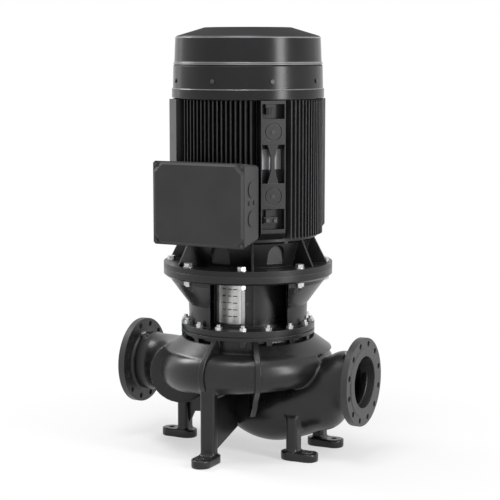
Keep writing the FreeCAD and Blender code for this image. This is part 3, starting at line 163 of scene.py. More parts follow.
def paint(name, look):
    # Sprayed paint: a grain in the surface, slow changes of gloss, and a painted highlight along the edges, a
    # lighter colour where rounded edges would catch the light, partly standing for worn paint there
    skin = Finish(name)
    soft = skin.rounded(look["edgeRadius"])
    cloud = skin.noise(look["cloudScale"])
    grain = skin.noise(look["grainScale"], detail=4.0, rough=0.6)
    tone = skin.blend(skin.spread(cloud, *look["cloudRange"]), look["colour"], look["secondColour"])
    # Painted highlight: the edges are mixed towards a light grey, as if they caught the light
    colour = skin.blend(skin.edges(soft) * look["edgeShare"], tone, look["edgeColour"])
    gloss = look["roughness"] + (cloud - noiseMiddle) * look["glossChange"]
    if look["matteTop"]:
        gloss = gloss + skin.spread(skin.upward(), *look["topRange"]) * look["matteTop"]
    return skin.set(Base_Color=colour, Roughness=gloss, Metallic=0.0, Specular_IOR_Level=look["specular"],
                    Normal=skin.bump(grain, look["grainStrength"], look["grainDepth"], soft))


# The edge colour and its share paint a highlight along the edges; the edge radius also rounds the normal
castLook = {"colour": (0.008, 0.008, 0.009), "secondColour": (0.013, 0.013, 0.014),
            "edgeColour": (0.12, 0.12, 0.125), "edgeShare": 0.7, "edgeRadius": 3 * mm, "roughness": 0.30,
            "glossChange": 0.22, "specular": 0.42, "matteTop": 0.0, "topRange": (0.5, 0.95),
            "cloudScale": 9.0, "cloudRange": (0.35, 0.65), "grainScale": 240.0, "grainStrength": 0.35,
            "grainDepth": 0.6 * mm}
motorLook = dict(castLook, colour=(0.007, 0.007, 0.008), secondColour=(0.011, 0.011, 0.012),
                 edgeRadius=2 * mm, edgeShare=0.9, roughness=0.36, specular=0.35, grainScale=320.0)
sheetLook = dict(castLook, colour=(0.006, 0.006, 0.007), secondColour=(0.009, 0.009, 0.010),
                 edgeRadius=2 * mm, edgeColour=(0.18, 0.18, 0.185), roughness=0.24, glossChange=0.08,
                 specular=0.30, matteTop=0.8, grainScale=420.0, grainStrength=0.12, grainDepth=0.3 * mm)
# The rolled edges take a light grey instead of the sheet's black: a painted highlight along the beads
rollHighlightLook = dict(sheetLook, colour=(0.16, 0.16, 0.165), secondColour=(0.20, 0.20, 0.205), specular=0.6,
                matteTop=0.0)
portLook = dict(castLook, colour=(0.030, 0.030, 0.031), secondColour=(0.044, 0.044, 0.045), roughness=0.42)
boxLook = dict(castLook, colour=(0.030, 0.030, 0.032), secondColour=(0.037, 0.037, 0.039),
               edgeRadius=1.5 * mm, edgeColour=(0.14, 0.14, 0.145), edgeShare=0.6, specular=0.35,
               roughness=0.44, glossChange=0.1, grainScale=500.0, grainStrength=0.2, grainDepth=0.3 * mm)


def metal(name, look):
    # Bare or plated metal: brushed or mottled gloss, a little dirt in the tone
    skin = Finish(name)
    soft = skin.rounded(look["edgeRadius"])
    cloud = skin.noise(look["cloudScale"])
    stretch = skin.add("ShaderNodeMapping", {}, {"Vector": skin.place, "Scale": look["brush"]})
    lines = skin.add("ShaderNodeTexNoise", {}, {"Vector": stretch, "Scale": look["lineScale"], "Detail": 3.0})
    colour = skin.blend(skin.spread(cloud, *look["cloudRange"]), look["colour"], look["secondColour"])
    gloss = look["roughness"] + (lines - noiseMiddle) * look["glossChange"]
    return skin.set(Base_Color=colour, Roughness=gloss, Metallic=look["metallic"],
                    Normal=skin.bump(lines, look["lineStrength"], look["lineDepth"], soft))


zincLook = {"colour": (0.66, 0.67, 0.68), "secondColour": (0.50, 0.51, 0.52), "edgeRadius": 1 * mm,
            "metallic": 0.85, "roughness": 0.30, "glossChange": 0.25, "cloudScale": 60.0,
            "cloudRange": (0.3, 0.7), "brush": (1.0, 1.0, 1.0), "lineScale": 300.0, "lineStrength": 0.15,
            "lineDepth": 0.2 * mm}
stainlessLook = dict(zincLook, colour=(0.78, 0.78, 0.77), secondColour=(0.66, 0.66, 0.65), metallic=0.55,
                     glossChange=0.2, brush=(1.0, 1.0, 30.0), lineScale=40.0, cloudScale=12.0)
steelLook = dict(zincLook, colour=(0.56, 0.56, 0.57), secondColour=(0.48, 0.48, 0.49), metallic=1.0,
                 brush=(1.0, 1.0, 40.0), lineScale=60.0)
chromeLook = dict(steelLook, roughness=0.12, glossChange=0.06)
laminationLook = dict(steelLook, colour=(0.20, 0.20, 0.21), secondColour=(0.26, 0.25, 0.24), roughness=0.5,
                      brush=(1.0, 1.0, 300.0), lineScale=8.0, lineStrength=0.5)
windingLook = dict(zincLook, colour=(0.55, 0.19, 0.06), secondColour=(0.40, 0.12, 0.04), metallic=0.7,
                   brush=(1.0, 1.0, 200.0), lineScale=10.0, lineStrength=0.7, lineDepth=1 * mm,
                   roughness=0.35)
bronzeLook = dict(zincLook, colour=(0.55, 0.36, 0.16), secondColour=(0.42, 0.27, 0.12), metallic=0.9,
                  roughness=0.42, lineScale=200.0)
brassLook = dict(zincLook, colour=(0.72, 0.52, 0.22), secondColour=(0.62, 0.44, 0.18), metallic=1.0)
ironLook = dict(zincLook, colour=(0.10, 0.10, 0.11), secondColour=(0.16, 0.15, 0.15), metallic=0.6,
                roughness=0.5)
plateLook = dict(stainlessLook, colour=(0.30, 0.30, 0.31), secondColour=(0.22, 0.22, 0.23), roughness=0.42,
                 brush=(1.0, 1.0, 60.0))
darkLook = dict(zincLook, colour=(0.05, 0.05, 0.052), secondColour=(0.08, 0.08, 0.082), metallic=0.6)
studLook = dict(zincLook, colour=(0.55, 0.55, 0.54), secondColour=(0.44, 0.44, 0.43))


def plain(name, look):
    # Rubber, plastic or stone: fine grain and slow changes of tone
    skin = Finish(name)
    cloud = skin.noise(look["cloudScale"])
    grain = skin.noise(look["grainScale"], detail=5.0)
    colour = skin.blend(skin.spread(cloud, *look["cloudRange"]), look["colour"], look["secondColour"])
    gloss = look["roughness"] + (cloud - noiseMiddle) * look["glossChange"]
    return skin.set(Base_Color=colour, Roughness=gloss, Specular_IOR_Level=look["specular"],
                    Normal=skin.bump(grain, look["grainStrength"], look["grainDepth"]))


rubberLook = {"colour": (0.018, 0.018, 0.018), "secondColour": (0.026, 0.026, 0.026), "roughness": 0.65,
              "glossChange": 0.15, "specular": 0.4, "cloudScale": 30.0, "cloudRange": (0.35, 0.65),
              "grainScale": 500.0, "grainStrength": 0.3, "grainDepth": 0.4 * mm}
plasticLook = dict(rubberLook, roughness=0.42, colour=(0.022, 0.022, 0.023),
                   secondColour=(0.028, 0.028, 0.029))
stoneLook = dict(rubberLook, roughness=0.25, colour=(0.10, 0.10, 0.11), secondColour=(0.14, 0.14, 0.15))

finishTable = {
    "cast_paint": (paint, castLook), "motor_paint": (paint, motorLook), "sheet_paint": (paint, sheetLook),
    "box_paint": (paint, boxLook), "roll_paint": (paint, rollHighlightLook), "port_paint": (paint, portLook),
    "zinc": (metal, zincLook), "stainless": (metal, stainlessLook), "machined_steel": (metal, steelLook),
    "bearing_steel": (metal, chromeLook), "lamination": (metal, laminationLook),
    "winding": (metal, windingLook), "impeller_metal": (metal, bronzeLook),
    "coupling_iron": (metal, ironLook), "brass": (metal, brassLook), "plate_metal": (metal, plateLook),
    "stud": (metal, studLook), "dark_zinc": (metal, darkLook), "rubber": (plain, rubberLook),
    "seal_face_stone": (plain, stoneLook), "plastic": (plain, plasticLook),
}
finishes = {name: make(name, look) for name, (make, look) in finishTable.items()}
slotOf = {part["node"]: part["material_slot"] for part in frame["record"]["subparts"]}
# Nodes whose finish isn't that of their slot
otherFinish = {"cover_studs": "stud", "earth_clamp": "motor_paint", "fan_cover_screws": "dark_zinc",
               "lid_screws": "dark_zinc", "guard_screws": "dark_zinc", "frame_lug_bolt": "box_paint",
               "drive_endshield_bolts": "dark_zinc", "earth_bolts": "dark_zinc"}
for name, thing in nodes.items():
    thing.data.materials.clear()
    thing.data.materials.append(finishes[otherFinish.get(name, slotOf[name])])
print("finishes set:", len(finishes))


# Distances used by the casting, in millimetres; negative is inside
def softMin(first, second, radius):
    # The smaller of two distances, rounded where they are nearly equal
    share = np.clip(0.5 + 0.5 * (second - first) / radius, 0.0, 1.0)
    return second + (first - second) * share - radius * share * (1.0 - share)


def softMax(first, second, radius):
    return -softMin(-first, -second, radius)


def smoothTable(at, places, values):
    # A smooth curve through stations: on each stretch a cubic whose end slopes are those of its neighbours
    places, values = np.asarray(places, float), np.asarray(values, float)
    slopes = np.gradient(values, places)
    at = np.clip(at, places[0], places[-1])
    i = np.clip(np.searchsorted(places, at) - 1, 0, len(places) - 2)
    step = places[i + 1] - places[i]
    t = (at - places[i]) / step
    return (values[i] * (1 + 2 * t) * (1 - t)**2 + values[i + 1] * t * t * (3 - 2 * t)
            + slopes[i] * step * t * (1 - t)**2 + slopes[i + 1] * step * t * t * (t - 1))


def polygon(u, v, corners):
    # A convex outline: the greatest of the distances to its edge lines
    corners = np.array(corners, float)
    following = np.roll(corners, -1, axis=0)
    area = np.sum(corners[:, 0] * following[:, 1] - corners[:, 1] * following[:, 0])
    distance = None
    for (u0, v0), (u1, v1) in zip(corners, following):
        length = math.hypot(u1 - u0, v1 - v0) * math.copysign(1.0, area)
        side = ((v1 - v0) * (u - u0) - (u1 - u0) * (v - v0)) / length
        distance = side if distance is None else np.maximum(distance, side)
    return distance


def roundedSlab(outline, thick, edge):
    # An outline given a thickness, its rims rounded
    a, b = outline + edge, thick + edge
    return np.minimum(np.maximum(a, b), 0) + np.hypot(np.maximum(a, 0), np.maximum(b, 0)) - edge


def between(distance, at, low, high):
    # A shape's distance, with the shape kept to one stretch
    return np.maximum(distance, np.maximum(low - at, at - high))


def atAngle(x, y, angle):
    # Distances along and across a direction from the shaft
    c, s = math.cos(math.radians(angle)), math.sin(math.radians(angle))
    return x * c + y * s, -x * s + y * c


casting = {
    "axisZ": 300.0, "wall": 12.0, "fillet": 12.0, "hollowEdge": 2.0,
    # Volute: angle, centre radius, rise of the centre above the pipe axis, section radius
    "volute": [(-150, 262, 8, 80), (-120, 277, 25, 80), (-90, 286, 38, 77), (-45, 288, 44, 70),
               (0, 287, 47, 62), (50, 281, 49, 55), (100, 272, 51, 48), (150, 264, 52, 42)],
    "stepAngle": -9.0, "stepDown": 8.0,
    # Suction bowl and its hollow: distance along the pipe, rise, half width, half height
    "bowl": [(-140, -84, 6, 6), (-124, -88, 34, 32), (-90, -100, 78, 73), (-36, -115, 108, 104),
             (31, -128, 129, 123), (119, -130, 139, 135), (227, -107, 141, 137), (312, -73, 136, 138),
             (397, -31, 128, 142), (440, 0, 113.5, 113.5), (470, 0, 113.5, 113.5)],
    "inlet": [(-84, -118, 50, 40), (-40, -130, 86, 66), (31, -148, 113, 90), (119, -160, 125, 93),
              (227, -146, 127, 90), (345, -103, 116, 84), (397, -48, 110, 99), (440, 0, 100, 100),
              (510, 0, 100, 100)],
    "inletFree": 432.0, "inletWall": 10.0,
    # Discharge duct, its neck and its bore
    "ductStartR": 125.0, "ductHandle": 105.0, "ductEnd": (-440.0, 0.0), "ductSamples": 44, "ductDrop": 3.0,
    "ductFace": 6.0, "ductEdge": 2.0, "ductFillet": 5.0, "neckR": 113.5, "neck": (-452.0, -422.0),
    "boreR": 100.0, "bore": (-520.0, -436.0),
    # Drum under the stud flange, the deck round it and the stretches that have no deck
    "drumR": 241.0, "drum": (300.0, 466.0), "deckFillet": 5.0, "deckEdge": 3.0, "recess": (-92.0, -57.0),
    "deckAgain": -215.0,
    "deck": [(236, 347), (272, 347), (324, 390), (330, 398), (264, 446), (236, 446)],
    "chamberR": 222.4, "chamberFloor": 308.0, "eyeR": 96.0, "eye": (180.0, 320.0),
    # Legs: x, y, direction of the foot, height of the arched head
    "legs": [(258, 122, 0, 150), (258, -122, 0, 150), (-286, 0, 180, 230), (0, -326, -90, 318)],
    "legHalfD": 23.0, "legHalfW": 30.0, "legFillet": 14.0, "footHalfW": 38.0, "footReach": 62.0,
    "footT": 32.0, "footEdge": 4.0, "footFillet": 12.0, "footHoleR": 9.0,
    # Gauge bosses on the necks and the drain boss of the bowl
    "bossR": 17.0, "bossX": 448.0, "bossLean": 24.0, "boss": (100.0, 123.5), "bossFillet": 4.0,
    "drainX": 119.0, "drainZ": 170.0, "drain": (110.0, 150.0),
    "low": (-460, -432, -4), "high": (472, 372, 478), "cell": 6.4,
    "reachCells": 10.0, "settleSteps": 3, "probe": 0.5, "leastSlope": 0.3,
}
wellInside = -50.0


def ductLine(s):
    # The centre line from the volute's end to the discharge neck: a cubic curve with handles along both ends
    angle, radius = math.radians(s["volute"][0][0]), s["volute"][0][1]
    start = np.array([radius * math.cos(angle), radius * math.sin(angle)])
    first = start + s["ductHandle"] * np.array([math.sin(angle), -math.cos(angle)])
    end = np.array(s["ductEnd"])
    second = end + (s["ductHandle"], 0.0)
    t = np.linspace(0.0, 1.0, s["ductSamples"])[:, None]
    line = start * (1 - t)**3 + 3 * first * (1 - t)**2 * t + 3 * second * (1 - t) * t * t + end * t**3
    return line, (t * t * (3 - 2 * t))[:, 0]


def sweep(x, y, z, line, heights, radii):
    # A tube as the union of balls strung closely along its centre line
    nearest = None
    for (cx, cy), cz, radius in zip(line, heights, radii):
        ball = np.sqrt((x - cx)**2 + (y - cy)**2 + (z - cz)**2) - radius
        nearest = ball if nearest is None else np.minimum(nearest, ball)
    return nearest


def volute(x, y, z, s, inset):
    # Distance to a circle that travels round the shaft while it grows and drops
    angles, radii, rises, sections = np.array(s["volute"], float).T
    angle = np.clip(np.degrees(np.arctan2(y, x)), angles[0], angles[-1])
    radius = smoothTable(angle, angles, radii)
    height = s["axisZ"] + smoothTable(angle, angles, rises)
    section = smoothTable(angle, angles, sections) - inset
    section = section - np.where(angle > s["stepAngle"], s["stepDown"], 0.0)
    turn = np.radians(angle)
    middleX, middleY = radius * np.cos(turn), radius * np.sin(turn)
    return np.sqrt((x - middleX)**2 + (y - middleY)**2 + (z - height)**2) - section


def ovalRun(x, y, z, s, stations):
    # Ovals across the pipe axis whose centre, width and height change along it
    places, rises, widths, heights = np.array(stations, float).T
    w, h = smoothTable(x, places, widths), smoothTable(x, places, heights)
    dz = z - s["axisZ"] - smoothTable(x, places, rises)
    q = np.sqrt((y / w)**2 + (dz / h)**2) + 1e-6
    inside = q * (q - 1) / np.sqrt((y / w**2)**2 + (dz / h**2)**2 + 1e-12)
    return between(inside, x, places[0], places[-1])


def leg(x, y, z, s, placeX, placeY, angle, top):
    # A rounded column with an arched head, and a round-ended foot that points outwards
    u, v = atAngle(x - placeX, y - placeY, angle)
    au, av = np.abs(u) - s["legHalfD"] + s["legFillet"], np.abs(v) - s["legHalfW"] + s["legFillet"]
    post = np.hypot(np.maximum(au, 0), np.maximum(av, 0)) + np.minimum(np.maximum(au, av), 0) - s["legFillet"]
    head = np.where(z > top, np.hypot(v, z - top) - s["legHalfW"], wellInside)
    post = np.maximum(np.maximum(post, head), -z)
    run = np.clip(u, -s["legHalfD"] / 2, s["footReach"])
    half = s["footT"] / 2
    foot = roundedSlab(np.hypot(u - run, v) - s["footHalfW"], np.abs(z - half) - half, s["footEdge"])
    hole = np.hypot(u - s["footReach"], v) - s["footHoleR"]
    return softMax(softMin(post, foot, s["footFillet"]), -hole, s["hollowEdge"])


def castingSkin(x, y, z, s, bowl):
    # The outside: tube, bowl, duct, neck, drum, deck, legs and bosses, joined one by one with fillets
    fillet, axis = s["fillet"], s["axisZ"]
    rho, pipe = np.hypot(x, y), np.hypot(y, z - axis)
    line, ease = ductLine(s)
    pastStart = atAngle(x, y, s["volute"][0][0])[1]
    duct = sweep(x, y, z, line, axis - s["ductDrop"] * (1 - ease),
                 s["ductStartR"] + (s["neckR"] - s["ductStartR"]) * ease)
    duct = softMax(duct, pastStart - s["ductFace"], s["ductEdge"])
    neck = between(pipe - s["neckR"], x, *s["neck"])
    deck = polygon(rho, z, s["deck"])
    besideFirst, besideLast = (atAngle(x, y, angle)[1] for angle in s["recess"])
    deck = softMax(deck, np.minimum(besideFirst, -besideLast), s["deckEdge"])
    pastDuct = np.minimum(s["ductFace"] - pastStart, atAngle(x, y, s["deckAgain"])[1])
    deck = softMax(deck, pastDuct, s["deckEdge"])
    body = softMin(volute(x, y, z, s, 0.0), softMin(bowl, neck, fillet), fillet)
    body = softMin(body, softMin(duct, neck, fillet), s["ductFillet"])
    body = softMin(body, between(rho - s["drumR"], z, *s["drum"]), fillet)
    body = softMin(body, deck, s["deckFillet"])
    for place in s["legs"]:
        body = softMin(body, leg(x, y, z, s, *place), fillet)
    lean = math.radians(s["bossLean"])
    across = y * math.cos(lean) + (z - axis) * math.sin(lean)
    along = -y * math.sin(lean) + (z - axis) * math.cos(lean)
    boss = between(np.hypot(np.abs(x) - s["bossX"], across) - s["bossR"], along, *s["boss"])
    drain = between(np.hypot(x - s["drainX"], z - s["drainZ"]) - s["bossR"], y, *s["drain"])
    return softMin(body, np.minimum(boss, drain), s["bossFillet"])


def castingField(x, y, z):
    # The skin less its hollow: inlet, volute, outlet, bore, chamber and eye
    s = casting
    axis, rho = s["axisZ"], np.hypot(x, y)
    bowl = ovalRun(x, y, z, s, s["bowl"])
    line, ease = ductLine(s)
    inBowl = np.where(x < s["inletFree"], bowl + s["inletWall"], wellInside)
    inlet = np.maximum(ovalRun(x, y, z, s, s["inlet"]), inBowl)
    inner = s["volute"][0][3] - s["wall"]
    outlet = sweep(x, y, z, line, axis + s["volute"][0][2] * (1 - ease), inner + (s["boreR"] - inner) * ease)
    bore = between(np.hypot(y, z - axis) - s["boreR"], x, *s["bore"])
    chamber = np.maximum(rho - s["chamberR"], s["chamberFloor"] - z)
    eye = between(rho - s["eyeR"], z, *s["eye"])
    hollow = np.minimum(inlet, volute(x, y, z, s, s["wall"]))
    hollow = np.minimum(np.minimum(hollow, outlet), np.minimum(bore, np.minimum(chamber, eye)))
    return np.maximum(softMax(castingSkin(x, y, z, s, bowl), -hollow, s["hollowEdge"]), -z)


sharpAngle = 30
plateAngle = 25
mergeWithin = 1e-5
softening = {"segments": 2, "angle": 40}


def pieceOf(name, mesh, sharpFrom):
    mesh.shade_smooth()
    if sharpFrom:
        mesh.set_sharp_from_angle(angle=math.radians(sharpFrom))
    piece = bpy.data.objects.new(name, mesh)
    bpy.context.scene.collection.objects.link(piece)
    return piece


def meshPiece(name, points, faces, sharpFrom=None, merged=False):
    # A piece from points and faces, its doubles merged where asked and its faces turned outwards
    mesh = bpy.data.meshes.new(name)
    mesh.from_pydata(points, [], faces)
    work = bmesh.new()
    work.from_mesh(mesh)
    if merged:
        bmesh.ops.remove_doubles(work, verts=work.verts, dist=mergeWithin)
    bmesh.ops.recalc_face_normals(work, faces=work.faces)
    work.to_mesh(mesh)
    work.free()
    return pieceOf(name, mesh, sharpFrom)


def soften(piece, edge):
    bevel = piece.modifiers.new("edges", "BEVEL")
    bevel.width, bevel.segments = edge, softening["segments"]
    bevel.limit_method, bevel.angle_limit = "ANGLE", math.radians(softening["angle"])
    return piece


def gridFaces(rows, width, first=0, ringed=False):
    # Quads between a grid's rows, which close on themselves; ringed joins the last row to the first
    i, j = np.meshgrid(np.arange(rows if ringed else rows - 1), np.arange(width), indexing="ij")
    k, l = (i + 1) % rows, (j + 1) % width
    return first + np.stack([i * width + j, i * width + l, k * width + l, k * width + j], 2).reshape(-1, 4)


def solidFromField(name, field, s):
    # The field is sampled on a grid, its zero surface is meshed, and each vertex moves onto the true surface
    cell = s["cell"]
    axes = [np.arange(a, b + cell, cell, dtype=np.float32) for a, b in zip(s["low"], s["high"])]
    values = field(*np.meshgrid(*axes, indexing="ij")).astype(np.float32)
    grid = openvdb.FloatGrid(s["reachCells"] * cell)
    grid.copyFromArray(values)
    points, quads = grid.convertToQuads(0.0)
    points = points.astype(float) * cell + np.array(s["low"])
    for _ in range(s["settleSteps"]):
        here = field(*points.T)
        rises = [field(*(points + step).T) - here for step in np.eye(3) * s["probe"]]
        slope = np.stack(rises, 1) / s["probe"]
        share = here / np.maximum((slope**2).sum(1), s["leastSlope"])
        points -= np.clip(share, -cell / 2, cell / 2)[:, None] * slope
    print(name, len(points), "points", len(quads), "quads")
    return meshPiece(name, points * mm, quads[:, ::-1].tolist())


def cutFromNode(name, node, planes):
    # A closed piece cut from a merged copy of a node's mesh, on the far side of each plane
    work = bmesh.new()
    work.from_mesh(nodes[node].data)
    bmesh.ops.remove_doubles(work, verts=work.verts, dist=mergeWithin)
    for spot, normal in planes:
        everything = work.verts[:] + work.edges[:] + work.faces[:]
        cut = bmesh.ops.bisect_plane(work, geom=everything, plane_co=spot, plane_no=normal, clear_inner=True)
        rim = [item for item in cut["geom_cut"] if isinstance(item, bmesh.types.BMEdge)]
        lid = bmesh.ops.triangle_fill(work, edges=rim, use_beauty=True)["geom"]
        for face in (item for item in lid if isinstance(item, bmesh.types.BMFace)):
            face.normal_update()
            if face.normal.dot(normal) > 0:
                face.normal_flip()
    mesh = bpy.data.meshes.new(name)
    work.to_mesh(mesh)
    work.free()
    return pieceOf(name, mesh, sharpAngle)


studFlange = {"under": 462.2 * mm, "halfWidth": 350 * mm}


def studFlangePiece():
    # What stands above the deck between the two ports
    under, half = studFlange["under"], studFlange["halfWidth"]
    return cutFromNode("stud_flange", "pump_casing",
                       [((0, 0, under), (0, 0, 1)), ((half, 0, 0), (-1, 0, 0)), ((-half, 0, 0), (1, 0, 0))])


flanges = {"rim": 170.0, "bore": 99.6, "sleeve": 112.0, "neck": 114.0, "face": 500.0, "back": 470.0,
           "end": 440.0, "neckFrom": 453.0, "raisedR": 132.0, "raised": 2.5, "slope": 1.0, "fillet": 8.0,
           "filletSteps": 5, "holeCircle": 147.5, "holeR": 11.0, "holes": 12, "perArc": 8, "perSide": 4,
           "turn": 0.3, "edge": 1.5 * mm}


def portFlange(name, side):
    # Each bolt hole stands in a field between two circles, its rim joined point by point to the field's edge;
    # the face, the bore, the sleeve with its fillet and the rim are outlines turned round the pipe axis
    s = flanges
    pitch, front, backLow = 2 * math.pi / s["holes"], s["face"] - s["raised"], s["neck"] + s["fillet"]
    faceLow = s["raisedR"] + s["slope"]

    def turned(x, r, turn):
        x, r, turn = np.broadcast_arrays(x, r, turn)
        return np.stack([side * x, r * np.sin(turn), casting["axisZ"] + r * np.cos(turn)], 2)

    across, up = np.linspace(-1, 1, s["perArc"] + 1)[:-1], np.linspace(0, 1, s["perSide"] + 1)[:-1]
    edgeTurn = np.concatenate([across, np.ones_like(up), -across, -np.ones_like(up)]) * pitch / 2
    share = np.concatenate([np.zeros_like(across), up, np.ones_like(across), 1 - up])
    edgeR, backR = faceLow + share * (s["rim"] - faceLow), backLow + share * (s["rim"] - backLow)
    way = np.arctan2(edgeR - s["holeCircle"], edgeTurn * s["holeCircle"])
    holeR = s["holeCircle"] + s["holeR"] * np.sin(way)
    holeTurn = s["holeR"] * np.cos(way) / s["holeCircle"]
    fieldX = np.array([front, front, s["back"], s["back"]])[:, None]
    fieldR = np.stack([edgeR, holeR, holeR, backR])
    fieldTurn = np.stack([edgeTurn, holeTurn, holeTurn, edgeTurn])
    middles = (np.arange(s["holes"]) + 0.5) * pitch + math.radians(s["turn"])
    grids = [turned(fieldX, fieldR, fieldTurn + middle) for middle in middles]

    curve = np.linspace(0, math.pi / 2, s["filletSteps"])
    sleeve = np.array([(front, faceLow), (s["face"], s["raisedR"]), (s["face"], s["bore"]),
                       (s["end"], s["bore"]), (s["end"], s["sleeve"]), (s["neckFrom"], s["sleeve"]),
                       (s["neckFrom"] + s["slope"], s["neck"])])
    fillet = np.stack([s["back"] - s["fillet"] * (1 - np.sin(curve)),
                       backLow - s["fillet"] * np.cos(curve)], 1)
    rim = np.array([(front, s["rim"]), (s["back"], s["rim"])])
    around = np.arange(s["holes"] * s["perArc"]) * pitch / s["perArc"] + math.radians(s["turn"])
    outlines = (np.vstack([sleeve, fillet]), rim)
    grids += [turned(outline[:, :1], outline[:, 1:], around) for outline in outlines]

    points = np.concatenate([grid.reshape(-1, 3) for grid in grids]) * mm
    starts = np.cumsum([0] + [grid.shape[0] * grid.shape[1] for grid in grids[:-1]])
    faces = np.concatenate([gridFaces(*grid.shape[:2], first) for grid, first in zip(grids, starts)])
    return soften(meshPiece(name, points, faces.tolist(), sharpAngle, merged=True), s["edge"])


def plates(name, outlines, edge):
    # Each outline of (distance from the shaft, height) stands in a direction, half its thickness to each side
    points, faces, first = [], [], 0
    for outline, angle, half in outlines:
        turn, (r, z) = math.radians(angle), np.array(outline, float).T
        for side in (-half, half):
            points.append(np.stack([r * math.cos(turn) - side * math.sin(turn),
                                    r * math.sin(turn) + side * math.cos(turn), z], 1))
        near = first + np.arange(len(r))
        far, following = near + len(r), np.roll(near, -1)
        faces += [near.tolist(), far[::-1].tolist()]
        faces += np.stack([far, following + len(r), following, near], 1).tolist()
        first += 2 * len(r)
    return soften(meshPiece(name, np.concatenate(points) * mm, faces, plateAngle), edge)


ribs = {"half": 11.0, "proud": 9.0, "edge": 2.5 * mm, "inner": 236.0, "outer": 261.0, "top": 464.0,
        "foot": 300.0, "arc": (48, -62, 16), "lower": {-92: [(349, 236), (300, 236)],
                                                      -57: [(262, 226), (250, 205), (175, 150), (130, 200)]}}
webs = {"half": 7.0, "edge": 1.5 * mm,
        "outlines": {-90: [(100, 96), (318, 30), (318, 240), (120, 240)],
                     180: [(110, 120), (240, 110), (268, 50), (280, 50), (280, 220), (120, 220)]}}
bosses = {"count": 16, "half": 12.0, "edge": 1.5 * mm,
          "outline": [(236, 436), (261, 436), (261, 464), (236, 464)]}


def ribOutline(angle):
    # Round the volute's section, up to the stud flange and down to what the rib stands on
    angles, radii, rises, sections = np.array(casting["volute"], float).T
    r = smoothTable(float(angle), angles, radii)
    z = casting["axisZ"] + smoothTable(float(angle), angles, rises)
    size = smoothTable(float(angle), angles, sections) + ribs["proud"]
    turn = np.radians(np.linspace(*ribs["arc"]))
    arc = np.stack([r + size * np.cos(turn), z + size * np.sin(turn)], 1).tolist()
    head = [(ribs["inner"], ribs["top"]), (ribs["outer"], ribs["top"])]
    return head + arc + ribs["lower"][angle] + [(ribs["inner"], ribs["foot"])]


def place(piece, body, slot, finish, *replaced):
    piece.data.materials.clear()
    piece.data.materials.append(finishes[finish])
    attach(piece, body)
    if replaced:
        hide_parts(*replaced)


ribOutlines = [(ribOutline(angle), angle, ribs["half"]) for angle in ribs["lower"]]
webOutlines = [(outline, angle, webs["half"]) for angle, outline in webs["outlines"].items()]
bossAngles = np.arange(bosses["count"]) * 360 / bosses["count"]
bossOutlines = [(bosses["outline"], angle, bosses["half"]) for angle in bossAngles]
casingPieces = [(solidFromField("casing_body", castingField, casting), "cast_paint"),
                (portFlange("suction_flange", 1), "port_paint"),
                (portFlange("discharge_flange", -1), "port_paint"),
                (studFlangePiece(), "cast_paint"),
                (plates("volute_ribs", ribOutlines, ribs["edge"]), "cast_paint"),
                (plates("casing_webs", webOutlines, webs["edge"]), "cast_paint"),
                (plates("stud_bosses", bossOutlines, bosses["edge"]), "cast_paint")]
for piece, finish in casingPieces:
    place(piece, "pump_unit", "cast_paint", finish, "pump_casing")
print("casing made")

# Rolled edges of the sheet covers: name, radius, height, thickness of the roll
rolledEdges = {"segments": 128, "around": 10, "rows": [
    ("canopy_lower_roll", 283.5, 1510.0, 3.2), ("canopy_shoulder_roll", 279.0, 1603.5, 2.6),
    ("cover_top_roll", 286.0, 1504.5, 2.6), ("cover_step_roll", 290.0, 1409.5, 3.0)]}


def rolledEdge(name, radius, height, thick):
    # A small circle carried round the shaft
    s = rolledEdges
    turn = np.linspace(0, 2 * np.pi, s["segments"], endpoint=False)[:, None]
    roll = np.linspace(0, 2 * np.pi, s["around"], endpoint=False)[None, :]
    r = radius + thick * np.cos(roll)
    grid = np.stack([r * np.cos(turn), r * np.sin(turn), height + thick * np.sin(roll) + 0 * turn], 2)
    faces = gridFaces(s["segments"], s["around"], ringed=True)
    return meshPiece(name, grid.reshape(-1, 3) * mm, faces.tolist())


# Each rolled edge is real in shape but painted light grey as a highlight line
for row in rolledEdges["rows"]:
    place(rolledEdge(*row), "pump_unit", "sheet_paint", "roll_paint")
print("rolled edges made")


# Floor, light and camera
stage = {"floorSize": 400.0, "floorDrop": -0.5 * mm, "floorColour": (0.90, 0.90, 0.905),
         "speckColour": (0.93, 0.93, 0.93), "speckScale": 40.0, "speckShare": 0.2, "floorRoughness": 0.9,
         "floorSpecular": 0.1, "worldLight": 0.26, "background": 1.0, "shadowFrom": 0.30, "shadowTo": 1.30,
         "nearWhite": 0.55}

# The floor shows the white background more and more away from the object, and the object's shadow near it
bpy.ops.mesh.primitive_plane_add(size=stage["floorSize"], location=(0, 0, stage["floorDrop"]))
floor = bpy.context.object
floor.name = "floor"
paper = Finish("floor_paper")
speck = paper.noise(stage["speckScale"]) * stage["speckShare"]
paper.set(Base_Color=paper.blend(speck, stage["floorColour"], stage["speckColour"]),
          Roughness=stage["floorRoughness"], Specular_IOR_Level=stage["floorSpecular"])
away = paper.add("ShaderNodeVectorMath", {"operation": "LENGTH"}, {0: paper.place}, "Value")
far = paper.spread(away, stage["shadowFrom"], stage["shadowTo"])
white = stage["nearWhite"] + far * (1 - stage["nearWhite"])
glow = paper.add("ShaderNodeEmission", {}, {"Color": (1.0, 1.0, 1.0), "Strength": stage["background"]})
lit = Wire(paper, paper.shader.outputs["BSDF"])
surface = paper.add("ShaderNodeMixShader", {}, {0: paper.shown() * white, 1: lit, 2: glow})
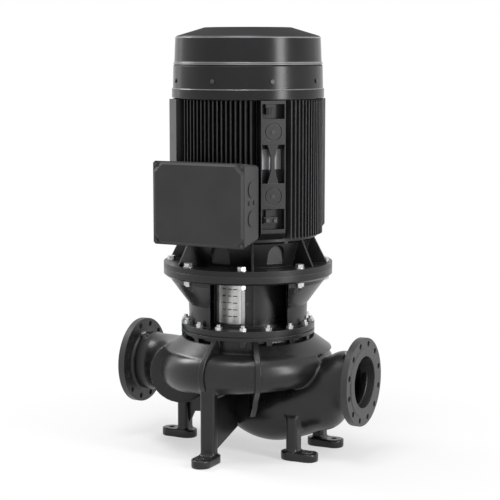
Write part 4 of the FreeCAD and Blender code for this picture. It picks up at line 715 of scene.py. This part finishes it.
paper.feed(paper.tree.nodes["Material Output"].inputs["Surface"], surface)
floor.data.materials.append(paper.material)

world = bpy.data.worlds.new("studio")
bpy.context.scene.world = world
world.use_nodes = True
sky = NodeWork(world.node_tree)
background = sky.tree.nodes["Background"]
sky.feed(background.inputs["Color"], (1.0, 1.0, 1.0))
sky.feed(background.inputs["Strength"],
         stage["worldLight"] + sky.shown() * (stage["background"] - stage["worldLight"]))

# Softboxes: name, azimuth round the object, elevation, distance, width, height, power in watts
softboxes = [("overhead", 5, 74, 3.6, 1.5, 1.5, 80), ("right_box", 77, 16, 4.2, 0.9, 3.2, 125),
             ("left_box", -92, 36, 4.4, 1.4, 1.6, 90), ("left_strip", -100, 8, 4.6, 0.35, 1.8, 3)]
aimHeight = 0.8
for name, azimuth, elevation, distance, width, height, power in softboxes:
    light = bpy.data.lights.new(name, "AREA")
    light.shape, light.size, light.size_y, light.energy = "RECTANGLE", width, height, power
    lamp = bpy.data.objects.new(name, light)
    a, e = math.radians(azimuth), math.radians(elevation)
    lamp.location = (distance * math.sin(a) * math.cos(e), -distance * math.cos(a) * math.cos(e),
                     aimHeight + distance * math.sin(e))
    lamp.rotation_euler = (math.pi / 2 - e, 0, a)
    bpy.context.scene.collection.objects.link(lamp)

view = {"distance": 5.9971, "azimuth": 26.911, "pitch": 7.456, "height": 1.5641, "focalPixels": 1543.03,
        "pictureWidth": 500, "centreX": 248, "sensorWidth": 36.0}
camera = bpy.data.objects.new("camera", bpy.data.cameras.new("camera"))
bpy.context.scene.collection.objects.link(camera)
bpy.context.scene.camera = camera
turn = math.radians(view["azimuth"])
camera.location = (view["distance"] * math.sin(turn), -view["distance"] * math.cos(turn), view["height"])
camera.rotation_euler = (math.radians(90 - view["pitch"]), 0, turn)
camera.data.sensor_width = view["sensorWidth"]
camera.data.lens = view["focalPixels"] / view["pictureWidth"] * view["sensorWidth"]
camera.data.shift_x = 0.5 - view["centreX"] / view["pictureWidth"]
bpy.context.scene.view_settings.view_transform = "Standard"
print("stage set")
